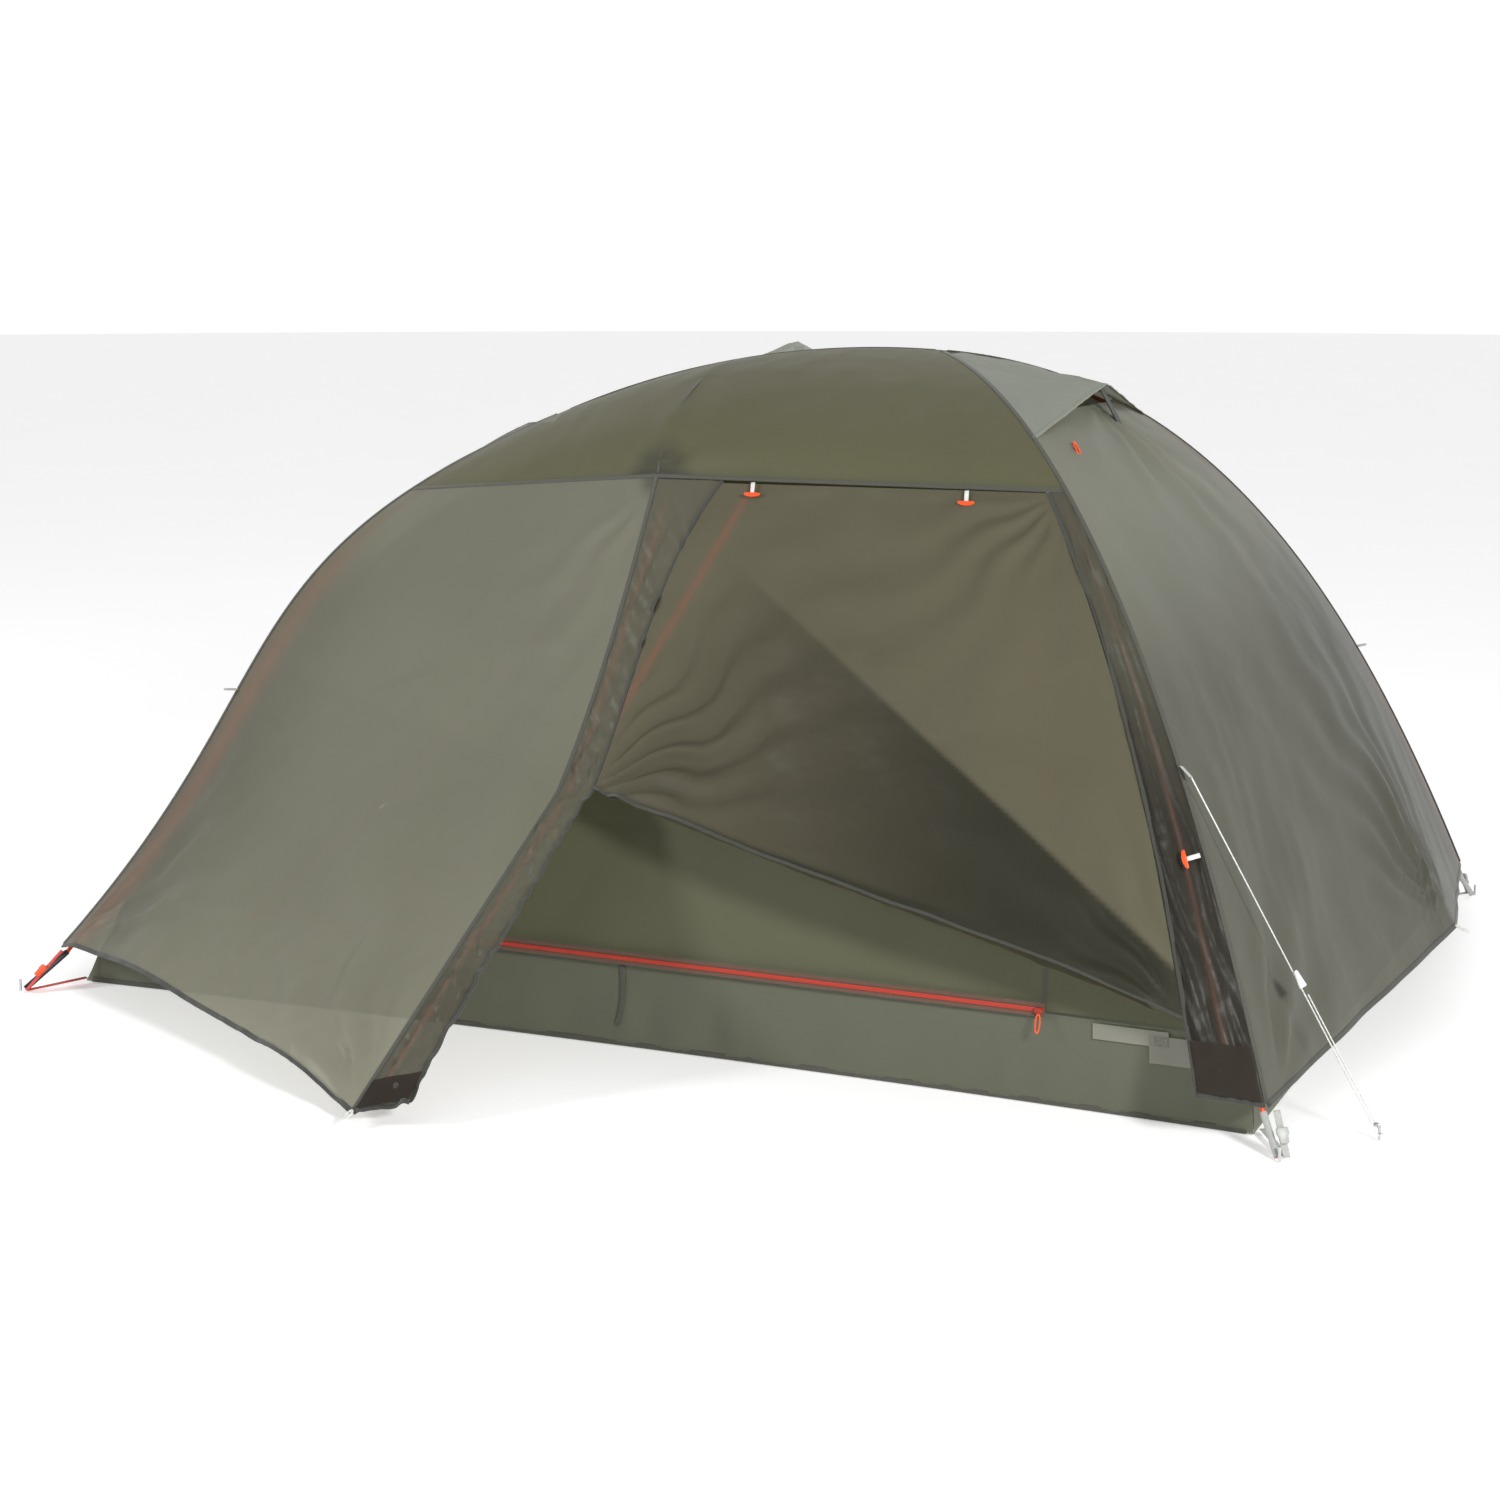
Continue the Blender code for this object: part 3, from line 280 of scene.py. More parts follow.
def inner_brow(side):
    return brow_end(side) + Vector((0, -side * 0.050, -0.030))


def inner_top(side, u):
    share = (BROW_X + FLOOR_LENGTH / 2) / FLOOR_LENGTH
    if u < share:
        return inner_leg(FOOT, side, SEAM_ON_LEG[FOOT]).lerp(inner_brow(side), u / share)
    return inner_brow(side).lerp(inner_leg(HEAD, side, SEAM_ON_LEG[HEAD]), (u - share) / (1 - share))


def inner_bottom(side, u):
    line = inner_leg(FOOT, side, 1).lerp(inner_leg(HEAD, side, 1), u)
    return line - Vector((0, side * 0.008 * (1 - (2 * u - 1) ** 2), 0))


def inner_side(side, u, v):
    return coons(
        lambda s: inner_top(side, s), lambda s: inner_bottom(side, s),
        lambda s: inner_leg(FOOT, side, mix(SEAM_ON_LEG[FOOT], 1, s)),
        lambda s: inner_leg(HEAD, side, mix(SEAM_ON_LEG[HEAD], 1, s)), u, v)


def door_cut(u, v):
    share = (BROW_X + FLOOR_LENGTH / 2) / FLOOR_LENGTH
    foot, head = mix(share + 0.01, 0.13, v), mix(0.93, 0.845, v)
    if u < 1:
        return mix(0, foot, u)
    return mix(foot, head, u - 1) if u < 2 else mix(head, 1, u - 2)


def inner_wall(side, u, v):
    return inner_side(side, door_cut(u, v), v)


def inner_roof(u, w):
    side = NEAR if w < 0 else FAR
    line = inner_leg(FOOT, NEAR, 0), inner_leg(HEAD, NEAR, 0)
    return coons(
        lambda s: line[0].lerp(line[1], s) + Vector((0, 0, 0.035 * sin(pi * s))),
        lambda s: inner_top(side, s),
        lambda s: inner_leg(FOOT, side, SEAM_ON_LEG[FOOT] * s),
        lambda s: inner_leg(HEAD, side, SEAM_ON_LEG[HEAD] * s), u, abs(w))


def inner_end(end, u, t):
    leg = inner_leg(end, NEAR, t)
    return Vector((leg.x + end * 0.02 * (1 - u * u) * sin(pi * t), -leg.y * u, leg.z))


door_width = (door_side(NEAR, 0.9, 0.5) - door_side(NEAR, 0.05, 0.5)).length
print("the near door is", round(door_width, 2), "m wide")

# %% [markdown]
# Shader maths reads best as plain arithmetic. A `Wire` holds one output socket of a material,
# and each operator on it adds the Math node that does the sum. Any other node goes through
# `Finish.node`, which sets the node's own options before it fills or links the inputs.

# %% Shader helpers


class Wire:
    def __init__(self, finish, socket):
        self.finish = finish
        self.socket = socket

    def sum(self, operation, a, b):
        return self.finish.node("ShaderNodeMath", {"operation": operation}, {0: a, 1: b})

    def __add__(self, other):
        return self.sum("ADD", self, other)

    def __radd__(self, other):
        return self.sum("ADD", other, self)

    def __sub__(self, other):
        return self.sum("SUBTRACT", self, other)

    def __rsub__(self, other):
        return self.sum("SUBTRACT", other, self)

    def __mul__(self, other):
        return self.sum("MULTIPLY", self, other)

    def __rmul__(self, other):
        return self.sum("MULTIPLY", other, self)


class Finish:
    """One material, with a Principled shader at its end until something else is put there."""

    def __init__(self, name, roughness=0.5, metallic=0.0, **options):
        self.material = bpy.data.materials.new(name)
        self.material.use_nodes = True
        self.tree = self.material.node_tree
        self.shader = self.tree.nodes["Principled BSDF"]
        self.shader.inputs["Roughness"].default_value = roughness
        self.shader.inputs["Metallic"].default_value = metallic
        for label, value in options.items():
            self.shader.inputs[label.replace("_", " ")].default_value = value

    def node(self, kind, settings=None, inputs=None, output=0):
        made = self.tree.nodes.new(kind)
        for key, value in (settings or {}).items():
            if key == "stops":
                ramp = made.color_ramp
                for place, colour in value[2:]:
                    ramp.elements.new(place).color = (*colour, 1)
                for element, (place, colour) in zip((ramp.elements[0], ramp.elements[-1]), value[:2]):
                    element.position = place
                    element.color = (*colour, 1)
            else:
                setattr(made, key, value)
        for key, value in (inputs or {}).items():
            self.plug(value, made.inputs[key])
        return Wire(self, made.outputs[output])

    def plug(self, value, socket):
        if isinstance(value, Wire):
            self.tree.links.new(value.socket, socket)
        elif isinstance(value, tuple) and socket.type == "RGBA":
            socket.default_value = (*value, 1)
        else:
            socket.default_value = value

    def paint(self, **channels):
        for label, value in channels.items():
            self.plug(value, self.shader.inputs[label.replace("_", " ")])
        return self

    def tint(self, share, a, b):
        """A colour mixed from a to b by a share that may vary."""
        return self.node("ShaderNodeMix", {"data_type": "RGBA"}, {0: share, 6: a, 7: b}, output=2)

    def noise(self, scale, detail=3, place=None):
        inputs = {"Scale": scale, "Detail": detail}
        if place is not None:
            inputs["Vector"] = place
        return self.node("ShaderNodeTexNoise", {}, inputs, output=0)

    def bump(self, height, strength, distance):
        made = {"Height": height, "Strength": strength, "Distance": distance}
        self.plug(self.node("ShaderNodeBump", {}, made), self.shader.inputs["Normal"])
        return self


def on_object(finish):
    return finish.node("ShaderNodeTexCoord", {}, {}, output=3)


def on_cloth(finish):
    """Metres across and down the cloth, from its UV map."""
    return finish.node("ShaderNodeTexCoord", {}, {}, output=2)


print("shader helpers ready")

# %% [markdown]
# Tent cloth is a thin coated nylon, with a grid of thicker threads every few millimetres. It
# does four things with light: it scatters some back, glows a little with light from behind,
# lets a little straight through so that poles and zips show as ghosts, and has a low gloss.
# So the finish is a Principled shader mixed with a Translucent and a Transparent one. Two
# numbers on each point of the mesh vary it. The first makes the cloth less see-through where a
# second layer lies behind, and mixes its colour towards a dark one: painted shade, for doubled
# layers and for the fall of light across a panel. The second mixes in a dark red-brown, a painted
# shadow of an orange pole or a red zip that lies just under the cloth.

# %% Cloth finish


def cloth_finish(name, colour, painted_shade_colour, glow_colour, see=0.14, glow=0.30, roughness=0.42, crinkle=0.5):
    finish = Finish(name, roughness, Specular_IOR_Level=0.22)
    place, flat = on_object(finish), on_cloth(finish)
    double = finish.node("ShaderNodeAttribute", {"attribute_name": "double"}, {}, output=2)
    warm = finish.node("ShaderNodeAttribute", {"attribute_name": "warm"}, {}, output=2)
    cloud = finish.noise(2.6, 3, place)
    base = finish.tint(cloud, tuple(c * 0.90 for c in colour), tuple(c * 1.10 for c in colour))
    # Painted shade: the colour is mixed towards the dark colour by the first shading number.
    base = finish.tint(double, base, painted_shade_colour)
    # Painted shadow of an orange pole or a red zip under the cloth, in a dark red-brown.
    base = finish.tint(warm, base, (0.30, 0.13, 0.09))
    parts = finish.node("ShaderNodeSeparateXYZ", {}, {0: flat})
    across = finish.node("ShaderNodeMath", {"operation": "PINGPONG"}, {0: parts, 1: 0.0025})
    parts_y = finish.node("ShaderNodeSeparateXYZ", {}, {0: flat}, output=1)
    down = finish.node("ShaderNodeMath", {"operation": "PINGPONG"}, {0: parts_y, 1: 0.0025})
    thread = finish.node("ShaderNodeMath", {"operation": "MINIMUM"}, {0: across, 1: down})
    grid = finish.node("ShaderNodeMath", {"operation": "LESS_THAN"}, {0: thread, 1: 0.0003})
    base = finish.tint(grid * 0.10, base, tuple(c * 0.6 for c in colour))
    finish.paint(Base_Color=base)
    creases = finish.noise(9.0, 4, place)
    ridges = finish.node("ShaderNodeTexVoronoi", {"feature": "SMOOTH_F1"}, {"Vector": place, "Scale": 16.0})
    finish.bump(creases * 1.2 + ridges * 0.7 + grid * 0.02, crinkle, 0.006)
    through = finish.node("ShaderNodeBsdfTranslucent", {}, {"Color": glow_colour})
    body = finish.node("ShaderNodeMixShader", {},
                       {0: glow * (1 - double), 1: Wire(finish, finish.shader.outputs[0]), 2: through})
    clear = finish.node("ShaderNodeBsdfTransparent", {}, {"Color": (0.75, 0.73, 0.62)})
    both = finish.node("ShaderNodeMixShader", {}, {0: see * (1 - double), 1: body, 2: clear})
    finish.plug(both, finish.tree.nodes["Material Output"].inputs["Surface"])
    return finish.material


# The fly is all one cloth, and fly_cloth has its colour. The door copy and the loose copy for flaps and
# strips are darker, painted shade, and the wall copy is lighter, painted light.
fly_cloth = cloth_finish("fly_cloth", (0.245, 0.245, 0.188), (0.045, 0.044, 0.030), (0.30, 0.29, 0.20))
door_cloth = cloth_finish("door_cloth", (0.155, 0.142, 0.094), (0.022, 0.021, 0.012), (0.22, 0.205, 0.125),
                          roughness=0.55)
shaded_loose_cloth = cloth_finish("shaded_loose_cloth", (0.160, 0.155, 0.112), (0.014, 0.012, 0.008), (0.26, 0.24, 0.16))
lit_wall_cloth = cloth_finish("lit_wall_cloth", (0.273, 0.278, 0.220), (0.030, 0.029, 0.020), (0.32, 0.31, 0.22))
vent_cloth = cloth_finish("vent_cloth", (0.366, 0.390, 0.323), (0.05, 0.05, 0.04), (0.32, 0.33, 0.26),
                          see=0.10)
inner_cloth = cloth_finish("inner_cloth", (0.170, 0.176, 0.110), (0.10, 0.10, 0.07), (0.34, 0.34, 0.23),
                           see=0.10, glow=0.40, roughness=0.6, crinkle=0.25)
tub_cloth = cloth_finish("tub_cloth", (0.168, 0.176, 0.130), (0.13, 0.14, 0.11), (0.36, 0.37, 0.29),
                         see=0.08, glow=0.35, roughness=0.5, crinkle=0.35)
print("cloth finishes:", fly_cloth.name, door_cloth.name, lit_wall_cloth.name, vent_cloth.name,
      inner_cloth.name, tub_cloth.name)

# %% [markdown]
# The small parts need simpler finishes. Webbing is woven, so its bump is a fine pair of
# crossing waves; binding tape is the same in near black; moulded plastic only varies in
# gloss; anodised tube is a metal with faint scratches along it.

# %% Finishes for the fittings


def woven_finish(name, colour, rough=0.75):
    finish = Finish(name, rough, Sheen_Weight=0.2)
    place = on_object(finish)
    weft = finish.node("ShaderNodeTexWave", {"wave_type": "BANDS", "bands_direction": "DIAGONAL"},
                       {"Vector": place, "Scale": 160.0, "Distortion": 1.0}, output=1)
    wool = finish.noise(260.0, 2, place)
    base = finish.tint(wool, tuple(c * 0.72 for c in colour), tuple(min(1, c * 1.2) for c in colour))
    finish.paint(Base_Color=base)
    return finish.bump(weft + wool, 0.5, 0.0006).material


def moulded_finish(name, colour, rough=0.4):
    finish = Finish(name, rough, Specular_IOR_Level=0.5)
    place = on_object(finish)
    cloud = finish.noise(120.0, 3, place)
    base = finish.tint(cloud, tuple(c * 0.9 for c in colour), tuple(min(1, c * 1.08) for c in colour))
    finish.paint(Base_Color=base, Roughness=rough + 0.12 * (cloud - 0.5))
    return finish.bump(finish.noise(500.0, 2, place), 0.12, 0.0004).material


def metal_finish(name, colour, rough=0.3):
    finish = Finish(name, rough, 1.0)
    place = on_object(finish)
    scratch = finish.noise(90.0, 5, place)
    base = finish.tint(scratch, tuple(c * 0.85 for c in colour), colour)
    finish.paint(Base_Color=base, Roughness=rough + 0.2 * (scratch - 0.5))
    return finish.bump(scratch, 0.08, 0.0003).material


def zip_finish(name, colour):
    finish = Finish(name, 0.5)
    flat = on_cloth(finish)
    teeth = finish.node("ShaderNodeTexWave", {"wave_type": "BANDS", "bands_direction": "Y"},
                        {"Vector": flat, "Scale": 130.0}, output=1)
    base = finish.tint(teeth, tuple(c * 0.55 for c in colour), colour)
    finish.paint(Base_Color=base)
    return finish.bump(teeth, 0.6, 0.0008).material


binding_tape = woven_finish("binding_tape", (0.040, 0.040, 0.033), 0.8)
seam_tape = woven_finish("seam_tape", (0.060, 0.060, 0.046), 0.7)
black_patch = woven_finish("black_patch", (0.012, 0.012, 0.011), 0.85)
grey_webbing = woven_finish("grey_webbing", (0.42, 0.43, 0.40))
white_webbing = woven_finish("white_webbing", (0.72, 0.72, 0.68))
red_webbing = woven_finish("red_webbing", (0.62, 0.045, 0.030))
pale_cord = woven_finish("pale_cord", (0.72, 0.73, 0.70))
orange_plastic = moulded_finish("orange_plastic", (0.80, 0.085, 0.015))
grey_plastic = moulded_finish("grey_plastic", (0.36, 0.37, 0.35))
black_plastic = moulded_finish("black_plastic", (0.02, 0.02, 0.02))
red_zip = zip_finish("red_zip", (0.52, 0.030, 0.008))
brown_tape = woven_finish("brown_tape", (0.11, 0.055, 0.035))
orange_tube = metal_finish("orange_tube", (0.78, 0.12, 0.05))
bare_metal = metal_finish("bare_metal", (0.62, 0.63, 0.64))
print("fitting finishes:", len(bpy.data.materials), "materials so far")

# %% [markdown]
# Taut cloth still has creases, and they tell where it is held. Three kinds do nearly all of
# it: a fan of folds running out from a point that pulls, long shallow folds that follow one
# direction, and crumpled cloth where nothing pulls at all. Each is a function from a point
# to a height, so they can simply be added up.

# %% Creases


def fan(origin, heading, normal, spread, folds, height, length, seed=0.0):
    """Folds that run out from a point, highest one length away and gone by three."""
    origin, heading = Vector(origin), Vector(heading).normalized()
    aside = Vector(normal).cross(heading).normalized()

    def relief(p):
        away = p - origin
        reach = away.length
        if reach > length * 4 or reach < 1e-5:
            return 0.0
        angle = atan2(away.dot(aside), away.dot(heading))
        wander = noise.noise(Vector((reach / length * 1.3, seed, 0.3))) * 0.5
        fade = exp(-(angle / spread) ** 2) * (reach / length) * exp(1 - reach / length)
        uneven = 1.0 + 0.8 * noise.noise(Vector((angle * 4, seed + 5.1, 0.0)))
        return height * fade * uneven * sin((angle + wander * 0.3) * folds + seed)

    return relief


def folds_along(direction, spacing, height, seed=0.0, stretch=7.0):
    """Long shallow folds that run along a direction, uneven in place and strength."""
    direction = Vector(direction).normalized()

    def relief(p):
        along = p.dot(direction)
        rest = (p - direction * along) / spacing
        shift = Vector((seed, seed * 1.7, along / (spacing * stretch)))
        return 1.8 * height * noise.noise(rest + shift)

    return relief


def crumple(size, height, seed=0.0):
    """Sharp small creases, as in loose cloth: the absolute value of a noise makes the folds."""
    def relief(p):
        q = p / size + Vector((seed, 0, seed))
        return height * (0.35 - abs(noise.noise(q)) - 0.5 * abs(noise.noise(q * 2.3)))

    return relief


def held_at(point, radius):
    """A weight that is 1 at a point and fades over a radius."""
    point = Vector(point)
    return lambda p: exp(-((p - point).length / radius) ** 2)


print("crease kinds: fan, folds_along, crumple")

# %% [markdown]
# Every panel is then one grid on its surface, moved in or out by its creases. It keeps still
# along the edges that a pole, a seam or a zip holds, which `pinned` lists by their first
# letters, so that creases never open a seam. No crease goes in further than `deepest`, so that
# none reaches the pole or the zip behind the cloth. The sheet keeps its size in metres as its
# UV map, for the thread grid, and the two shading numbers. `edge` gives back the line of points
# along one side, so that hems and seams can follow it.

# %% Sheets
MIDDLE_OF_TENT = Vector((0, 0, 0.3))


class Sheet:
    def __init__(self, name, surface, across, down, relief=(), missing=None, depth=0.0,
                 pinned="", margin=0.07, deepest=0.009):
        rows = [[surface(u, v) for u in across] for v in down]
        self.wide, self.high = len(across), len(down)
        middle = rows[self.high // 2][self.wide // 2]
        self.out = 1
        self.rows = rows
        if self.normal(self.high // 2, self.wide // 2).dot(middle - MIDDLE_OF_TENT) < 0:
            self.out = -1
        normals = [[self.normal(j, i) for i in range(self.wide)] for j in range(self.high)]
        for j in range(self.high):
            for i in range(self.wide):
                p = rows[j][i]
                a, b = i / (self.wide - 1), j / (self.high - 1)
                nearest = {"l": a, "r": 1 - a, "t": b, "b": 1 - b}
                loose = 1.0
                for edge in pinned:
                    loose *= smooth(nearest[edge] / margin)
                height = max(-deepest, loose * sum(r(p) for r in relief)) - depth
                rows[j][i] = p + normals[j][i] * height
        self.normals = normals
        self.name = name
        self.across, self.down = across, down
        self.build(missing)

    def normal(self, j, i):
        rows = self.rows
        right = rows[j][min(i + 1, self.wide - 1)] - rows[j][max(i - 1, 0)]
        below = rows[min(j + 1, self.high - 1)][i] - rows[max(j - 1, 0)][i]
        return right.cross(below).normalized() * self.out

    def build(self, missing):
        mesh = bpy.data.meshes.new(self.name)
        faces, area = [], 0.0
        for j in range(self.high - 1):
            for i in range(self.wide - 1):
                if missing and missing(i, j):
                    continue
                a = j * self.wide + i
                ring = [a, a + self.wide, a + self.wide + 1, a + 1]
                faces.append(ring if self.out > 0 else ring[::-1])
                one = self.rows[j][i + 1] - self.rows[j][i]
                two = self.rows[j + 1][i] - self.rows[j][i]
                area += one.cross(two).length
        mesh.from_pydata([tuple(p) for row in self.rows for p in row], [], faces)
        self.area = area
        widths = [sum((b - a).length for a, b in zip(row, row[1:])) for row in self.rows]
        columns = [[row[i] for row in self.rows] for i in range(self.wide)]
        lengths = [sum((b - a).length for a, b in zip(c, c[1:])) for c in columns]
        self.flat = (max(widths), max(lengths))
        layer = mesh.uv_layers.new(name="cloth")
        width, length = self.flat
        for face in mesh.polygons:
            for loop in face.loop_indices:
                j, i = divmod(mesh.loops[loop].vertex_index, self.wide)
                layer.data[loop].uv = (i / (self.wide - 1) * width, j / (self.high - 1) * length)
        for face in mesh.polygons:
            face.use_smooth = True
        self.thing = bpy.data.objects.new(self.name, mesh)
        bpy.context.scene.collection.objects.link(self.thing)

    def shade(self, double=None, warm=None):
        """Writes the two shading numbers, each from a function of (u, v, point)."""
        for label, rule in (("double", double), ("warm", warm)):
            layer = self.thing.data.attributes.new(label, "FLOAT", "POINT")
            values = []
            for j, v in enumerate(self.down):
                for i, u in enumerate(self.across):
                    values.append(clamp(rule(u, v, self.rows[j][i])) if rule else 0.0)
            layer.data.foreach_set("value", values)
        return self

    def dress(self, material, body, node=None, slot=None, held="stretched", rests_on=(), trim=()):
        self.thing.data.materials.append(material)
        if node:
            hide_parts(node)
        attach(self.thing, body)
        width, length = self.flat
        if self.area < 0.4 * width * length:
            length = 2 * self.area / width
        min(self.area, width * length)
        return self

    def edge(self, which):
        last = self.wide - 1
        pick = {
            "top": [(0, i) for i in range(self.wide)],
            "bottom": [(self.high - 1, i) for i in range(self.wide)],
            "left": [(j, 0) for j in range(self.high)],
            "right": [(j, last) for j in range(self.high)],
        }[which]
        return [self.rows[j][i] for j, i in pick], [self.normals[j][i] for j, i in pick]


print("a sheet has the edges top, bottom, left and right")

# %% [markdown]
# Hems, seams, zips and straps are all flat bands that follow a line of points. One builder
# serves them: it lays a band along the line, on a given side, as a thin closed strip whose
# long edges are rolled a little, so that it catches light as folded tape does.

# %% Bands


def add_piece(name, vertices, faces, material, body, flat=None):
    mesh = bpy.data.meshes.new(name)
    mesh.from_pydata([tuple(v) for v in vertices], [], faces)
    if flat:
        layer = mesh.uv_layers.new(name="cloth")
        for loop in mesh.loops:
            layer.data[loop.index].uv = flat[loop.vertex_index]
    for face in mesh.polygons:
        face.use_smooth = True
    mesh.materials.append(material)
    thing = bpy.data.objects.new(name, mesh)
    bpy.context.scene.collection.objects.link(thing)
    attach(thing, body)
    return thing


def band(name, points, normals, width, thick, material, body, lean=0.0):
    """A band along points; lean moves it sideways by that share of its width."""
    ring = [(-0.5, 0.0), (-0.46, 0.5), (-0.2, 0.42), (0.2, 0.42), (0.46, 0.5), (0.5, 0.0),
            (0.46, -0.5), (-0.46, -0.5)]
    vertices, flat, run = [], [], 0.0
    count = len(ring)
    for k, point in enumerate(points):
        ahead = points[min(k + 1, len(points) - 1)] - points[max(k - 1, 0)]
        if k:
            run += (point - points[k - 1]).length
        normal = normals[k] if isinstance(normals, list) else normals
        aside = ahead.cross(normal).normalized()
        up = aside.cross(ahead).normalized()
        for x, y in ring:
            vertices.append(point + aside * (x + lean) * width + up * y * thick)
            flat.append((x * width, run))
    faces = [list(range(count))[::-1]]
    for k in range(len(points) - 1):
        for n in range(count):
            a, b = k * count + n, k * count + (n + 1) % count
            faces.append([a, b, b + count, a + count])
    faces.append([(len(points) - 1) * count + n for n in range(count)])
    return add_piece(name, vertices, faces, material, body, flat)


def rod(name, points, radius, material, body, closed=False):
    """A round cord or wire along points."""
    curve = bpy.data.curves.new(name, "CURVE")
    curve.dimensions = "3D"
    curve.bevel_depth = radius
    curve.bevel_resolution = 3
    curve.use_fill_caps = not closed
    spline = curve.splines.new("POLY")
    spline.points.add(len(points) - 1)
    for knot, point in zip(spline.points, points):
        knot.co = (*point, 1.0)
    spline.use_cyclic_u = closed
    spline.use_smooth = True
    curve.materials.append(material)
    thing = bpy.data.objects.new(name, curve)
    bpy.context.scene.collection.objects.link(thing)
    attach(thing, body)
    return thing


def rounded_plate(name, outline, thick, place, x_way, y_way, material, body, bevel=0.001, holes=()):
    """A flat moulded piece from a 2D outline, with softened edges."""
    x_way = Vector(x_way).normalized()
    z_way = x_way.cross(Vector(y_way)).normalized()
    y_way = z_way.cross(x_way)
    shape = bmesh.new()
    ring = [shape.verts.new(Vector((x, y, -thick / 2))) for x, y in outline]
    face = shape.faces.new(ring)
    raised = bmesh.ops.extrude_face_region(shape, geom=[face])["geom"]
    for item in raised:
        if isinstance(item, bmesh.types.BMVert):
            item.co.z += thick
    bmesh.ops.recalc_face_normals(shape, faces=shape.faces)
    mesh = bpy.data.meshes.new(name)
    shape.to_mesh(mesh)
    shape.free()
    mesh.transform(Matrix((x_way, y_way, z_way)).transposed().to_4x4())
    mesh.transform(Matrix.Translation(Vector(place)))
    mesh.materials.append(material)
    thing = bpy.data.objects.new(name, mesh)
    bpy.context.scene.collection.objects.link(thing)
    soften = thing.modifiers.new("soft edges", "BEVEL")
    soften.width = bevel
    soften.segments = 3
    for polygon in mesh.polygons:
        polygon.use_smooth = True
    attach(thing, body)
    return thing


TENT = "pitched_tent"
print("bands, rods and plates ready")

# %% [markdown]
# The guy line is the one free cord. It leaves a loop on the near head leg, passes through a
# tensioner, turns round its peg and comes back, and it is pulled straight, so its route is
# two straight runs and a half turn. The peg stands a little way out from the head end.

# %% Guy line
PEG = Vector((1.349, -0.797, 0))
LEG_SEAM = fly_leg(HEAD, NEAR, 0.71)
outward = Vector((LEG_SEAM.x - 0.295, LEG_SEAM.y, 0)).normalized()
loop_root = LEG_SEAM + outward * 0.007
loop_end = loop_root + (outward * 0.6 + (PEG - LEG_SEAM).normalized() * 0.6).normalized() * 0.030
level = Vector((PEG.x - loop_end.x, PEG.y - loop_end.y, 0)).normalized()
beside = Vector((-level.y, level.x, 0))
held = PEG + Vector((0, 0, 0.012))
turn = [held + level * 0.0062 * sin(a) - beside * 0.0062 * cos(a) for a in steps(0, pi, 8)]
knot = loop_end.lerp(turn[0], 0.59) + beside * 0.012
guy_route = [loop_end.lerp(turn[0], s) for s in steps(0, 0.98, 20)] + turn
guy_route += [turn[-1].lerp(knot, s) for s in steps(0.03, 0.94, 12)]
guy_length = sum((b - a).length for a, b in zip(guy_route, guy_route[1:]))

guyline = rod("guy_line_cord", guy_route, 0.0012, pale_cord, TENT)
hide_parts("guyline")
print("guy line:", round(guy_length, 3), "m")

# %% [markdown]
# The tensioner is a small moulded triangle with softened edges that slides on the doubled
# cord. The peg is a wire pin with its top bent over, so that the cord can't slip off.

# %% Tensioner and peg
along_guy = (guy_route[20] - guy_route[0]).normalized()
over_guy = Vector((-along_guy.y, along_guy.x, 0)).normalized().cross(along_guy)
if over_guy.z < 0:
    over_guy = -over_guy
tensioner_at = loop_end.lerp(guy_route[20], 0.57 / 0.98) + over_guy * 0.0042
triangle = [(-0.015, -0.004), (-0.012, -0.006), (0.013, -0.012), (0.015, -0.010),
            (0.015, 0.010), (0.013, 0.012), (-0.012, 0.006), (-0.015, 0.004)]
white_plastic = moulded_finish("white_plastic", (0.74, 0.75, 0.73))
tensioner = rounded_plate("tensioner_triangle", triangle, 0.004, tensioner_at, along_guy,
                          over_guy.cross(along_guy), white_plastic, "guy_tensioner")
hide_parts("guy_tensioner")
hook = [PEG + Vector((0, 0, z)) for z in steps(0.002, 0.024, 6)]
hook += [PEG + level * (0.0045 * (1 - cos(a))) * -1 + Vector((0, 0, 0.024 + 0.0045 * sin(a)))
         for a in steps(0.3, pi, 6)]
peg_pin = rod("peg_pin", hook, 0.0026, bare_metal, TENT)
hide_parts("guy_peg")
print("tensioner at", [round(c, 3) for c in tensioner_at])

# %% [markdown]
# Poles and hubs already have their right shape in the frame, since a tube is a tube. They
# only take a better finish, put straight into the node's own material slot.

# %% Poles and hubs
for name in nodes:
    if name.endswith("_leg") or name in ("ridge_pole", "brow_pole"):
        nodes[name].material_slots[0].material = orange_tube
    elif name.endswith("_hub") or name == "brow_swivel":
        nodes[name].material_slots[0].material = black_plastic
    elif name.endswith("vent_strut"):
        nodes[name].material_slots[0].material = black_patch
print("poles and hubs finished")

# %% [markdown]
# The roof is two panels, one each side of the ridge, stretched over the brow pole. It is the
# tightest cloth on the tent, so it only has shallow folds across and a pucker where the brow
# pole ends, where the cloth is doubled and sewn down hard.

# %% Roof
BROW_NEAR, LEG_SEAM_HEAD, LEG_SEAM_FOOT = brow_end(NEAR), seam_point(HEAD, NEAR), seam_point(FOOT, NEAR)


def weighted(relief, weight):
    return lambda p: relief(p) * weight(p)


def round_pucker(point, radius, height, seed):
    return weighted(crumple(0.022, height, seed), held_at(point, radius))
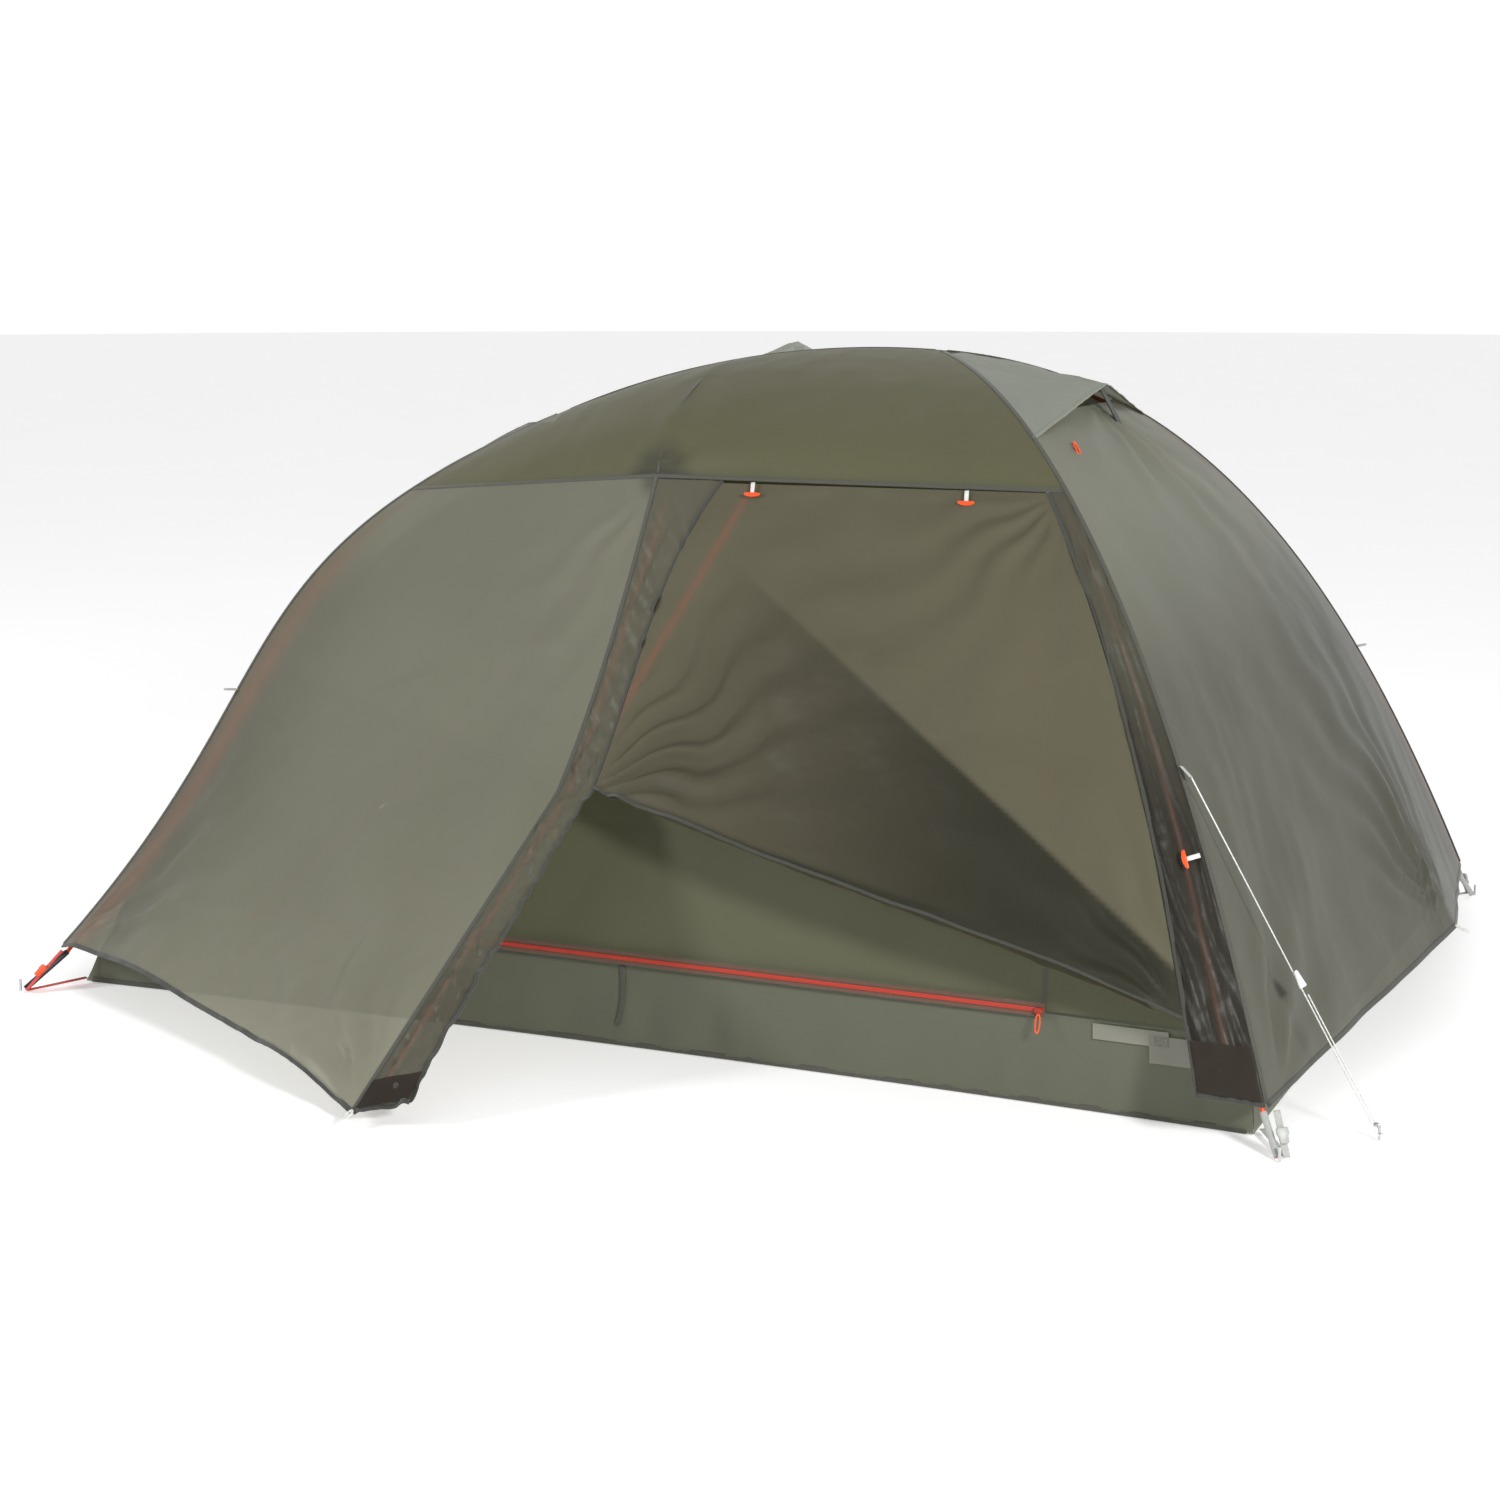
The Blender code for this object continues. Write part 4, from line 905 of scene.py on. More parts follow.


# The roof takes a darker copy of the fly cloth: painted shade, since less light falls on the roof than on the
# walls.
shaded_roof_cloth = cloth_finish("shaded_roof_cloth", (0.140, 0.138, 0.080), (0.045, 0.044, 0.030),
                          (0.24, 0.24, 0.15), see=0.10, glow=0.22)
roofs = {}
for side, which in ((NEAR, "near"), (FAR, "far")):
    tip = brow_end(side)
    relief = [folds_along((1, 0, 0.1), 0.16, 0.004, 3.0 + side), round_pucker(tip, 0.07, 0.014, side + 2.0),
              fan(tip, (0.5, -side * 0.6, 0.6), (0, side, 1), 1.2, 9, 0.0022, 0.10, 1.0),
              folds_along((0, side, -1), 0.05, 0.0012, 8.0)]
    roofs[which] = Sheet(f"roof_{which}", lambda u, v, side=side: roof_side(side, u, v),
                         steps(0.003, 0.997, 120), steps(0.002, 0.998, 44), relief, pinned="lrtb")
    # Painted shade round the end of the brow pole, where the cloth is doubled, and along the brow seam at the
    # roof's lower edge.
    roofs[which].shade(double=lambda u, v, p, tip=tip: 0.85 * smooth(1.7 - (p - tip).length / 0.055)
                       + 0.5 * exp(-((1 - v) / 0.02) ** 2))
    roofs[which].dress(shaded_roof_cloth, TENT, f"fly_roof_{which}", "fly", rests_on=["ridge_pole", "brow_pole"])
print("roof panels", [round(x, 2) for x in roofs["near"].flat], "m")

# %% [markdown]
# The closed half of each vestibule hangs from the brow seam, down to its peg. Its creases
# start from the peg and the end of the brow pole, and a few long ones run between the two.

# %% Foot panels
foot_panels = {}
for side, which in ((NEAR, "near"), (FAR, "far")):
    peg, tip, corner = vestibule_peg(side), brow_end(side), fly_corner(FOOT, side)
    out = Vector((-0.4, side, 0.5))
    middle = foot_panel(side, 0.5, 0.4)
    relief = [fan(peg, middle - peg, out, 0.9, 15, 0.0100, 0.26, 0.4),
              fan(tip, peg - tip, out, 0.8, 16, 0.0070, 0.13, 2.1),
              fan(corner, middle - corner, out, 0.8, 17, 0.0080, 0.15, 4.2),
              folds_along(foot_panel(side, 0.7, 0.9) - foot_panel(side, 0.55, 0.1), 0.14, 0.009, 5.5),
              weighted(crumple(0.05, 0.006, 3.0), lambda p: smooth((0.35 - p.z) / 0.3)),
              folds_along(tip - foot_panel(side, 0.7, 0.6), 0.035, 0.0012, 1.5)]
    foot_panels[which] = Sheet(f"foot_panel_{which}", lambda u, v, side=side: foot_panel(side, u, v),
                               steps(0.002, 0.999, 100), steps(0.002, 1, 110), relief, pinned="lrt")
    # Painted shade: darker round the end of the brow pole, where the cloth is doubled, and towards the foot
    # leg and the hem. A painted red-brown shadow of the foot leg's pole shows along that edge.
    foot_panels[which].shade(double=lambda u, v, p, tip=tip: 0.8 * smooth(1.5 - (p - tip).length / 0.04)
                             + 0.46 * smooth((0.45 - u) / 0.42) * smooth(v * 3)
                             + 0.20 * smooth((v - 0.3) / 0.5),
                             warm=lambda u, v, p: 0.30 * exp(-((u - 0.045) / 0.03) ** 2) * smooth(v * 4))
    foot_panels[which].dress(fly_cloth, TENT, f"{which}_foot_panel", "fly", rests_on=[f"foot_{which}_leg"])
print("foot panels", [round(x, 2) for x in foot_panels["near"].flat], "m")

# %% [markdown]
# The near door is tied open. Its lower corner is folded up behind it, and where two layers lie
# on each other the cloth is painted darker, as painted shade, with a crisp edge along the fold.
# Small crinkles fill the doubled part and a fan of folds runs from the point where the zip stops.

# %% Near door
FOLD_START, FOLD_TIP, FOLD_END = (0.03, 0.475), (0.24, 0.12), (0.93, 0.90)
ZIP_STOP = door_side(NEAR, *FOLD_START)
DOOR_OUT = Vector((0.2, -1, 0.5))


DOORWAY_FACES = Vector((0.40, -0.90, 0.18))


def beyond(a, b, p):
    """How far a point lies past a straight fold between two places on the door side, in metres."""
    start, stop = door_side(NEAR, *a), door_side(NEAR, *b)
    across = (stop - start).cross(DOORWAY_FACES).normalized()
    if across.z > 0:
        across = -across
    return (p - start).dot(across)


def door_uv(a, b):
    v = mix(0.006, mix(0.475, 0.90, a), b)
    return mix(flap_edge(v) + 0.004, strip_edge(v) - 0.004, a), v


def fold_shade_share(a, b, p):
    """Painted shade where the folded corner lies behind the door: 1 there, darkest near its low end."""
    past_edge = smooth(beyond(FOLD_TIP, (0.94, 0.85), p) / 0.012 + 0.5)
    past_side = smooth(beyond(FOLD_START, FOLD_TIP, p) / 0.16 + 0.3)
    return past_edge * past_side * mix(0.45, 1.0, smooth((a - 0.15) / 0.65))


FOLD_MIDDLE = door_side(NEAR, 0.45, 0.52)
door_relief = [
    fan(ZIP_STOP, door_side(NEAR, 0.5, 0.35) - ZIP_STOP, DOOR_OUT, 0.8, 24, 0.0085, 0.17, 0.7),
    fan(door_side(NEAR, 0.93, 0.90), door_side(NEAR, 0.5, 0.5) - door_side(NEAR, 0.93, 0.9), DOOR_OUT,
        0.7, 19, 0.0075, 0.16, 3.3),
    fan(LEG_SEAM_HEAD, ZIP_STOP - LEG_SEAM_HEAD, DOOR_OUT, 0.9, 16, 0.0050, 0.13, 1.9),
    folds_along(door_side(NEAR, 0.45, 0.5) - door_side(NEAR, 0.4, 0.02), 0.09, 0.006, 2.2, 5.0),
    weighted(crumple(0.024, 0.0030, 6.0), held_at(FOLD_MIDDLE, 0.26)),
    weighted(crumple(0.09, 0.0045, 9.0), held_at(FOLD_MIDDLE, 0.40)),
]
near_door_sheet = Sheet("near_door_cloth", near_door, steps(0, 1, 150), steps(0, 1, 130), door_relief,
                        pinned="lrt", margin=0.04)
# Painted shade over the folded corner behind the door and along the fold, and a painted red-brown shadow
# showing through along the side of the folded corner.
near_door_sheet.shade(
    double=lambda a, b, p: fold_shade_share(a, b, p) + 0.5 * exp(-((1 - b) / 0.012) ** 2),
    warm=lambda a, b, p: 0.60 * exp(-(beyond((0.195, 0.085), (0.045, 0.395), p) / 0.007) ** 2)
    * smooth((0.42 - door_uv(a, b)[1]) / 0.05))
near_door_sheet.dress(door_cloth, "near_door", "near_door_panel", "fly", rests_on=["brow_pole"])


def folded_corner(a, b):
    """The folded corner, its long free edge drawn straight as a taut fold is."""
    straight = door_corner(1, 0).lerp(door_corner(1, 1), b)
    return door_corner(a, b) + (straight - door_corner(1, b)) * a ** 2


corner_sheet = Sheet("near_door_fold", folded_corner, steps(0, 1, 80), steps(0, 0.94, 50),
                     [crumple(0.06, 0.006, 12.0)], depth=0.014)
# Painted shade, even over the whole folded corner.
corner_sheet.shade(double=lambda a, b, p: 0.3)
corner_sheet.dress(door_cloth, "near_door", "near_door_corner", "fly", held="folded")
print("near door", [round(x, 2) for x in near_door_sheet.flat], "m, area", round(near_door_sheet.area, 2))

# %% [markdown]
# The far door is zipped shut. It hangs from the same seam, so its folds fall straight down
# from the brow and gather towards the peg.

# %% Far door
far_peg = vestibule_peg(FAR)
far_relief = [fan(far_peg, door_side(FAR, 0.4, 0.3) - far_peg, (0.3, 1, 0.4), 0.9, 13, 0.006, 0.24, 1.1),
              fan(brow_end(FAR), door_side(FAR, 0.5, 0.5) - brow_end(FAR), (0.3, 1, 0.4), 0.9, 11, 0.004,
                  0.15, 2.6),
              folds_along((0.05, 0.6, -0.8), 0.10, 0.006, 6.1)]
far_door_sheet = Sheet("far_door_cloth", far_door, steps(0, 1, 90), steps(0, 1, 90), far_relief,
                       pinned="lrt")
# Painted shade along the hem.
far_door_sheet.shade(double=lambda a, b, p: 0.4 * exp(-((1 - b) / 0.02) ** 2))
far_door_sheet.dress(fly_cloth, "far_door", "far_door_panel", "fly", rests_on=["brow_pole"])
print("far door", [round(x, 2) for x in far_door_sheet.flat], "m")

# %% [markdown]
# A storm flap lies loose over each zip, and a narrow strip runs beside each head leg. Nothing
# pulls on them, so they stay rumpled: sharp little creases of two sizes, and no long folds.

# %% Storm flaps and strips
flaps, strips = {}, {}
patch_cloth = cloth_finish("patch_cloth", (0.026, 0.019, 0.014), (0.01, 0.01, 0.01), (0.05, 0.03, 0.02),
                           see=0.10, glow=0.10, roughness=0.7)
for side, which in ((NEAR, "near"), (FAR, "far")):
    flaps[which] = Sheet(
        f"storm_flap_{which}",
        lambda a, v, side=side: door_side(side, mix(0.002, flap_edge(v), a), v),
        steps(0, 1, 24), steps(0.003, 1, 260),
        [folds_along(Vector((0.75, side * 0.35, -0.55)), 0.016, 0.0042, 2.0 + side, 3.0),
         folds_along(Vector((-0.2, side * 0.5, -0.8)), 0.022, 0.0042, 7.0, 5.0), crumple(0.030, 0.003, 1.0)],
        pinned="lt", margin=0.12, deepest=0.003)
    # Painted shade: darker all over, more towards the hem and along the free edge. A painted red-brown shadow
    # of the red zip under the flap shows as a line.
    flaps[which].shade(double=lambda a, v, p: 0.20 + 0.45 * smooth((v - 0.5) / 0.4)
                       + 0.25 * smooth((a - 0.8) / 0.2),
                       warm=lambda a, v, p: 0.30 * exp(-((a - 0.28) / 0.06) ** 2) * smooth(v * 12))
    flaps[which].dress(shaded_loose_cloth, TENT, f"{which}_storm_flap", "fly", held="hung")
    strips[which] = Sheet(
        f"head_strip_{which}",
        lambda a, v, side=side: door_side(side, mix(strip_edge(v), 0.998, a), v),
        steps(0, 1, 20), steps(0.003, 1, 220),
        [folds_along(fly_leg(HEAD, side, 0.7) - fly_leg(HEAD, side, 0.5), 0.013, 0.0050, 4.0 + side, 12.0),
         crumple(0.030, 0.002, 5.0)],
        pinned="rt", margin=0.10, deepest=0.003)
    # Painted shade: darker all over, more towards the hem and along the free edge. A painted red-brown shadow
    # of the red zip under the strip shows as a line.
    strips[which].shade(double=lambda a, v, p: 0.50 + 0.45 * smooth((v - 0.25) / 0.4)
                        + 0.3 * exp(-(a / 0.10) ** 2),
                        warm=lambda a, v, p: 0.17 * exp(-((a - 0.55) / 0.045) ** 2) * smooth(v * 8))
    strips[which].dress(shaded_loose_cloth, TENT, f"{which}_head_strip", "fly", held="hung")
    for word, low, high in (("flap", 0.955, 0.0), ("strip", 0.930, 1.0)):
        def foot_patch(a, v, side=side, high=high):
            inner = flap_edge(v) if high == 0.0 else strip_edge(v)
            outer = 0.002 if high == 0.0 else 0.998
            return door_side(side, mix(inner, outer, a), v)

        patch = Sheet(f"{word}_patch_{which}", foot_patch, steps(0.02, 0.96, 12), steps(low, 0.998, 8),
                      [crumple(0.05, 0.004, 1.0)], depth=-0.006)
        patch.shade().dress(patch_cloth, TENT, None, "strut")
print("flap", [round(x, 3) for x in flaps["near"].flat],
      "strip", [round(x, 3) for x in strips["near"].flat])

# %% [markdown]
# Each end wall is one wide panel between two legs, pulled out at the bottom by a loop in its
# middle. The pull leaves a crease up the middle, with folds that fan out from the loop.

# %% End walls
end_walls = {}
for end, word, top in ((HEAD, "head", 0.235), (FOOT, "foot", 0.035)):
    loop = end_wall(end, 0, 1)
    out = Vector((end, 0, 0.3))
    relief = [fan(loop, end_wall(end, -0.2, 0.4) - loop, out, 1.0, 21, 0.0060, 0.18, 0.9),
              fan(end_wall(end, -0.95, 1), end_wall(end, -0.3, 0.5) - end_wall(end, -0.95, 1), out, 0.7, 14,
                  0.0075, 0.18, 5.0),
              fan(end_wall(end, 0, top), end_wall(end, 0, 0.7) - end_wall(end, 0, top), out, 1.1, 12,
                  0.0070, 0.12, 2.7),
              folds_along(end_wall(end, -0.6, 0.9) - end_wall(end, -0.6, 0.4), 0.12, 0.0030, 4.4),
              weighted(folds_along(fly_leg(end, NEAR, 0.95) - fly_leg(end, NEAR, 0.5), 0.020, 0.0034,
                                   8.0, 14.0),
                       held_at(end_wall(end, -0.9, 0.80), 0.24))]
    end_walls[word] = Sheet(f"end_wall_{word}", lambda u, t, end=end: end_wall(end, u, t),
                            steps(-0.997, 0.997, 130), steps(top, 1, 96), relief, pinned="lr")
    # Painted shade: darker towards the hem and towards the far leg, and a painted red-brown shadow of the far
    # leg's pole beside it.
    end_walls[word].shade(double=lambda u, t, p: 0.77 * smooth((t - 0.34) / 0.34)
                          + 0.16 * smooth((u + 0.6) / 1.0),
                          warm=lambda u, t, p: 0.22 * exp(-((u - 0.93) / 0.07) ** 2))
    end_walls[word].dress(lit_wall_cloth, TENT, f"fly_{word}_wall", "fly",
                          rests_on=[f"{word}_near_leg", f"{word}_far_leg"])
print("end walls", {w: [round(x, 2) for x in s.flat] for w, s in end_walls.items()})

# %% [markdown]
# The vents are small hoods of paler cloth, held open by a stiff strut under the tip. In the
# head vent's opening, a near-black, partly see-through sheet set back behind the hood is
# painted shade.

# %% Vent hoods
head_hood_sheet = Sheet("head_hood_cloth", head_hood, steps(-0.995, 0.995, 60), steps(0, 1, 34),
                        [fan((0.631, 0, 1.162), (-1, 0, 0), (0, 0, 1), 1.2, 9, 0.003, 0.10, 1.0),
                         crumple(0.06, 0.003, 3.0)])
# Painted shade, even over the whole head hood.
head_hood_sheet.shade(double=lambda u, s, p: 0.15)
head_hood_sheet.dress(vent_cloth, TENT, "head_vent_hood", "vent_cloth", held="hung",
                      rests_on=["head_vent_strut"])
far_hood_sheet = Sheet("far_hood_cloth", far_hood, steps(-1, 1, 40), steps(0, 1, 24),
                       [crumple(0.05, 0.002, 2.0)])
far_hood_sheet.shade()
far_hood_sheet.dress(vent_cloth, TENT, "far_vent_hood", "vent_cloth", held="hung",
                     rests_on=["far_vent_strut"])
# Painted shade in the head vent's opening: a near-black sheet set back behind the hood.
vent_opening_shade = Sheet("head_vent_shade", lambda u, t: end_wall(HEAD, u, t), steps(-0.96, 0.96, 40),
                 steps(0.14, 0.236, 16), depth=0.012)
vent_shade_finish = cloth_finish("vent_shade_finish", (0.020, 0.020, 0.018), (0.01, 0.01, 0.01), (0.03, 0.03, 0.03),
                          see=0.30, glow=0.05, roughness=0.8)
vent_opening_shade.shade().dress(vent_shade_finish, TENT, None, "vent_cloth", held="stretched")
print("hoods", [round(x, 2) for x in head_hood_sheet.flat], [round(x, 2) for x in far_hood_sheet.flat])

# %% [markdown]
# The inner tent is a lighter skin inside the fly. It shows in the doorway and as a pale shape
# through the cloth, so each panel is made, with its doors as panels of their own.

# %% Inner tent
inner_roof_sheet = Sheet("inner_roof_cloth", inner_roof, steps(0.005, 0.995, 60), steps(-0.995, 0.995, 48),
                         [folds_along((1, 0, 0), 0.12, 0.003, 1.0)])
inner_roof_sheet.shade()
inner_roof_sheet.dress(inner_cloth, TENT, "inner_roof", "inner_cloth", held="hung", rests_on=["ridge_pole"])
columns = steps(0.02, 1, 24) + steps(1, 2, 50)[1:] + steps(2, 2.98, 10)[1:]
levels = [0.006, 0.03, 0.06] + steps(0.06, 0.999, 56)[1:]
for side, which in ((NEAR, "near"), (FAR, "far")):
    wall_relief = [folds_along(inner_wall(side, 1.2, 0.9) - inner_wall(side, 1.2, 0.1), 0.10, 0.0035, 3.0)]
    wall = Sheet(f"inner_wall_{which}", lambda u, v, side=side: inner_wall(side, u, v), columns, levels,
                 wall_relief, missing=lambda i, j: 24 <= i < 74 and j >= 2)
    wall.shade()
    wall.dress(inner_cloth, TENT, f"inner_{which}_wall", "inner_cloth", held="hung")
    door = Sheet(f"inner_door_{which}", lambda u, v, side=side: inner_wall(side, u, v),
                 steps(1.006, 1.994, 60), steps(0.063, 0.996, 60), wall_relief)
    # Painted shade along the door's two zipped edges.
    door.shade(double=lambda u, v, p: 0.4 * exp(-(min(u - 1, 2 - u) / 0.012) ** 2))
    door.dress(inner_cloth, f"{which}_inner_door", f"{which}_inner_door", "inner_cloth", held="hung")
    for column, word in ((1.0, "foot"), (2.0, "head")):
        line = [inner_wall(side, column, v) for v in steps(0.07, 0.985 if word == "foot" else 0.86, 40)]
        outs = [Vector((0, side, 0.4))] * len(line)
        band(f"inner_{which}_door_zip_{word}", line, outs, 0.010, 0.0022, red_zip, TENT)
for end, word in ((HEAD, "head"), (FOOT, "foot")):
    wall = Sheet(f"inner_wall_{word}", lambda u, t, end=end: inner_end(end, u, t),
                 steps(-0.99, 0.99, 50), steps(0.04, 0.998, 50), [folds_along((0, 0, 1), 0.12, 0.003, 2.0)])
    wall.shade()
    wall.dress(inner_cloth, TENT, f"inner_{word}_wall", "inner_cloth", held="hung")
print("inner roof", [round(x, 2) for x in inner_roof_sheet.flat], "m")

# %% [markdown]
# The floor is a tub: its walls come up a hand's width before the lighter inner walls start.
# It is five panels here, the floor and four sides, with ripples low down where it is pegged.

# %% Floor tub


def tub_line(side, u, high):
    corner = tub_corner if high else floor_corner
    bow = (0.008 if high else 0.035) * (1 - (2 * u - 1) ** 2)
    return corner(FOOT, side).lerp(corner(HEAD, side), u) - Vector((0, side * bow, 0))


def tub_side(side, u, w):
    return tub_line(side, u, False).lerp(tub_line(side, u, True), w)


def tub_end(end, u, w):
    low = floor_corner(end, NEAR).lerp(floor_corner(end, FAR), u)
    return low.lerp(tub_corner(end, NEAR).lerp(tub_corner(end, FAR), u), w)


def tub_floor(u, w):
    return tub_line(NEAR, u, False).lerp(tub_line(FAR, u, False), w) + Vector((0, 0, 0.0035))


tub_ripples = [weighted(folds_along((0, 0, 1), 0.05, 0.005, 1.0), lambda p: smooth((0.16 - p.z) / 0.12)
                        * smooth(p.z / 0.03))]
tub_floor_sheet = Sheet("tub_floor", tub_floor, steps(0.002, 0.998, 50), steps(0.002, 0.998, 36),
                        [crumple(0.15, 0.0015, 2.0)])
tub_floor_sheet.shade()
tub_floor_sheet.dress(tub_cloth, TENT, "floor_tub", "floor_cloth", held="laid")
for side, which in ((NEAR, "near"), (FAR, "far")):
    made = Sheet(f"tub_{which}_side", lambda u, w, side=side: tub_side(side, u, w), steps(0, 1, 130),
                 steps(0.012, 1, 14), tub_ripples)
    made.shade().dress(tub_cloth, TENT, None, "floor_cloth")
    band(f"tub_{which}_seam", [tub_side(side, u, 0.035) for u in steps(0.005, 0.995, 60)],
         Vector((0, side, 0.2)), 0.010, 0.0016, seam_tape, TENT)
for end, word in ((HEAD, "head"), (FOOT, "foot")):
    made = Sheet(f"tub_{word}_end", lambda u, w, end=end: tub_end(end, u, w), steps(0, 1, 80),
                 steps(0.012, 1, 14), tub_ripples)
    made.shade().dress(tub_cloth, TENT, None, "floor_cloth")
tub_patches = (("head_patch_low", 0.882, 0.940, 0.80, 0.97), ("head_patch_high", 0.925, 0.965, 0.62, 0.92))
pale_cloth = cloth_finish("pale_cloth", (0.30, 0.30, 0.25), (0.1, 0.1, 0.1), (0.34, 0.34, 0.28), see=0.05)
for name, u_low, u_high, w_low, w_high in tub_patches:
    made = Sheet(f"tub_{name}", lambda u, w: tub_side(NEAR, u, w), steps(u_low, u_high, 8),
                 steps(w_low, w_high, 6), depth=-0.0035)
    made.shade().dress(pale_cloth, TENT, None, "floor_cloth")
strap_line = [tub_side(NEAR, 0.488 + 0.006 * sin(pi * w), w) + Vector((0, -0.003, 0))
              for w in steps(0.25, 1, 12)]
band("tub_strap", strap_line, Vector((0, -1, 0.1)), 0.010, 0.0012, seam_tape, TENT)
print("tub floor", [round(x, 2) for x in tub_floor_sheet.flat], "m")

# %% [markdown]
# Every cut edge of the fly is bound in dark tape, and every seam shows as a dark line where
# cloth is doubled and stitched. Both are bands that follow the edge of the sheet they belong
# to, so they ride on the same body.

# %% Bindings and seams


def bind(name, sheet, which, body, width=0.012, lean=0.0, material=binding_tape):
    points, normals = sheet.edge(which)
    return band(name, points, normals, width, 0.0022, material, body, lean)


for which in ("near", "far"):
    bind(f"hem_foot_panel_{which}", foot_panels[which], "bottom", TENT, 0.010)
    bind(f"zip_seam_{which}", foot_panels[which], "right", TENT, 0.009, material=seam_tape)
    bind(f"flap_edge_{which}", flaps[which], "right", TENT, 0.006)
    bind(f"flap_hem_{which}", flaps[which], "bottom", TENT, 0.010)
    bind(f"strip_edge_{which}", strips[which], "left", TENT, 0.007)
    bind(f"strip_hem_{which}", strips[which], "bottom", TENT, 0.010)
    bind(f"brow_seam_{which}", roofs[which], "bottom", TENT, 0.008, material=seam_tape)
bind("near_door_hem", near_door_sheet, "bottom", "near_door", 0.005)
bind("far_door_hem", far_door_sheet, "bottom", "far_door", 0.010)
for word in ("head", "foot"):
    bind(f"hem_end_wall_{word}", end_walls[word], "bottom", TENT, 0.010)
for end, word in ((HEAD, "head"), (FOOT, "foot")):
    for side, which in ((NEAR, "near"), (FAR, "far")):
        line = [fly_leg(end, side, t) for t in steps(0.01, 0.998, 70)]
        outs = [Vector((end * 0.7, side, 0.6))] * len(line)
        band(f"leg_seam_{word}_{which}", line, outs, 0.008, 0.0022, seam_tape, TENT)
band("ridge_seam", [ridge(t) for t in steps(0.01, 0.99, 50)], Vector((0, 0, 1)), 0.008, 0.0018,
     seam_tape, TENT)
# A dark band of seam tape runs along the line of the brow pole on each roof panel.
for side, which in ((NEAR, "near"), (FAR, "far")):
    line = [roof_side(side, 0.5, v) for v in steps(0.02, 0.98, 30)]
    band(f"brow_line_band_{which}", line, Vector((0, side * 0.5, 1)), 0.006, 0.0018, seam_tape, TENT)
points, normals = head_hood_sheet.edge("bottom")
band("head_hood_edge", points, normals, 0.008, 0.002, vent_cloth, TENT)

# %% [markdown]
# Zips are a coil on a tape. The coil is a red band with its teeth in the finish, and the tape
# is a wider, thinner brown band under it. Sliders are small moulded bodies with a pull loop.

# %% Zips


def edge_frame(side, t):
    point = vestibule_edge(side, t)
    along = (vestibule_edge(side, min(t + 0.01, 1)) - vestibule_edge(side, t - 0.01)).normalized()
    to_door = Vector((-along.y, along.x, 0)).normalized()
    if to_door.x < 0:
        to_door = -to_door
    inward = along.cross(to_door)
    if inward.z > 0:
        inward = -inward
    return point, along, inward, to_door


def inner_zip_line(side):
    foot, head = tub_corner(FOOT, side), tub_corner(HEAD, side)
    out = Vector((0, side * 0.006, 0.008))
    return foot.lerp(head, 0.13) + out, foot.lerp(head, 0.845) + out


SLIDER_SHAPE = [(-0.008, -0.0035), (-0.005, -0.005), (0.004, -0.0045), (0.008, -0.0025), (0.008, 0.0025),
                (0.004, 0.0045), (-0.005, 0.005), (-0.008, 0.0035)]


def slider_with_pull(node, place, along, aside, body, pull_way):
    made = rounded_plate(f"{node}_body", SLIDER_SHAPE, 0.0038, place, along, aside, red_zip, body,
                         bevel=0.0008)
    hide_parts(node)
    pull_way = Vector(pull_way).normalized()
    wide = Vector(along).normalized() * 0.004
    ring = [Vector(place) + pull_way * (0.006 + 0.016 * (1 - cos(a))) + wide * sin(a)
            for a in steps(0, 2 * pi, 24)]
    rod(f"{node}_pull", ring[:-1], 0.0014, orange_plastic, body, closed=True)


for side, which, at in ((NEAR, "near", KNEE + 0.03), (FAR, "far", 0.96)):
    coil, outs = [], []
    for t in steps(0.03, 0.985, 90):
        point, _, inward, to_door = edge_frame(side, t)
        coil.append(point + inward * 0.008 + to_door * 0.014)
        outs.append(-inward)
    made = band(f"{which}_zip_coil", coil, outs, 0.008, 0.002, red_zip, TENT)
    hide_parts(f"{which}_fly_zip")
    point, along, inward, to_door = edge_frame(side, at)
    slider_with_pull(f"{which}_fly_slider", point + to_door * 0.014 + inward * 0.012, along, to_door,
                     f"{which}_fly_slider", Vector((0, 0, -1)) - inward * 0.3)
    foot, head = inner_zip_line(side)
    line = [foot.lerp(head, s) for s in steps(0, 1, 60)]
    face = Vector((0, side, 0.05))
    made = band(f"{which}_inner_zip_coil", line, face, 0.008, 0.002, red_zip, TENT)
    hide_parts(f"{which}_inner_zip")
    tape = [p - Vector((0, side * 0.0016, 0)) for p in line]
    band(f"{which}_inner_zip_tape", tape, face, 0.024, 0.0008, brown_tape, TENT)
    along = (head - foot).normalized()
    out = Vector((-along.y, along.x, 0)) * side
    slider_with_pull(f"{which}_inner_slider", head - along * 0.008 + out * 0.004, along, Vector((0, 0, 1)),
                     f"{which}_inner_slider", Vector((0, side * 0.25, -1)))
head_coil = [door_side(NEAR, 0.972, v) + Vector((0.1, 0.7, -0.5)).normalized() * 0.010
             for v in steps(0.04, 0.96, 80)]
made = band("near_head_zip_coil", head_coil, Vector((0.1, -1, 0.5)), 0.008, 0.002, red_zip, TENT)
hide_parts("near_head_zip")
slider_at = sum(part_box("near_head_slider"), Vector()) / 2
slider_with_pull("near_head_slider", slider_at, head_coil[-4] - head_coil[-8], Vector((1, 0, 0)),
                 "near_head_slider", Vector((0.1, -0.4, -1)))
print("zips made")

# %% [markdown]
# The toggles are short white straps sewn into the door seam, each with an orange bar through
# its end. The same pair of shapes makes the tie that holds the rolled edge beside the leg.

# %% Toggles and tie
BAR = [(-0.0165, 0.001), (-0.0135, -0.002), (-0.004, -0.0045), (0.004, -0.0045), (0.0135, -0.002),
       (0.0165, 0.001), (0.0150, 0.0040), (-0.0150, 0.0040)]


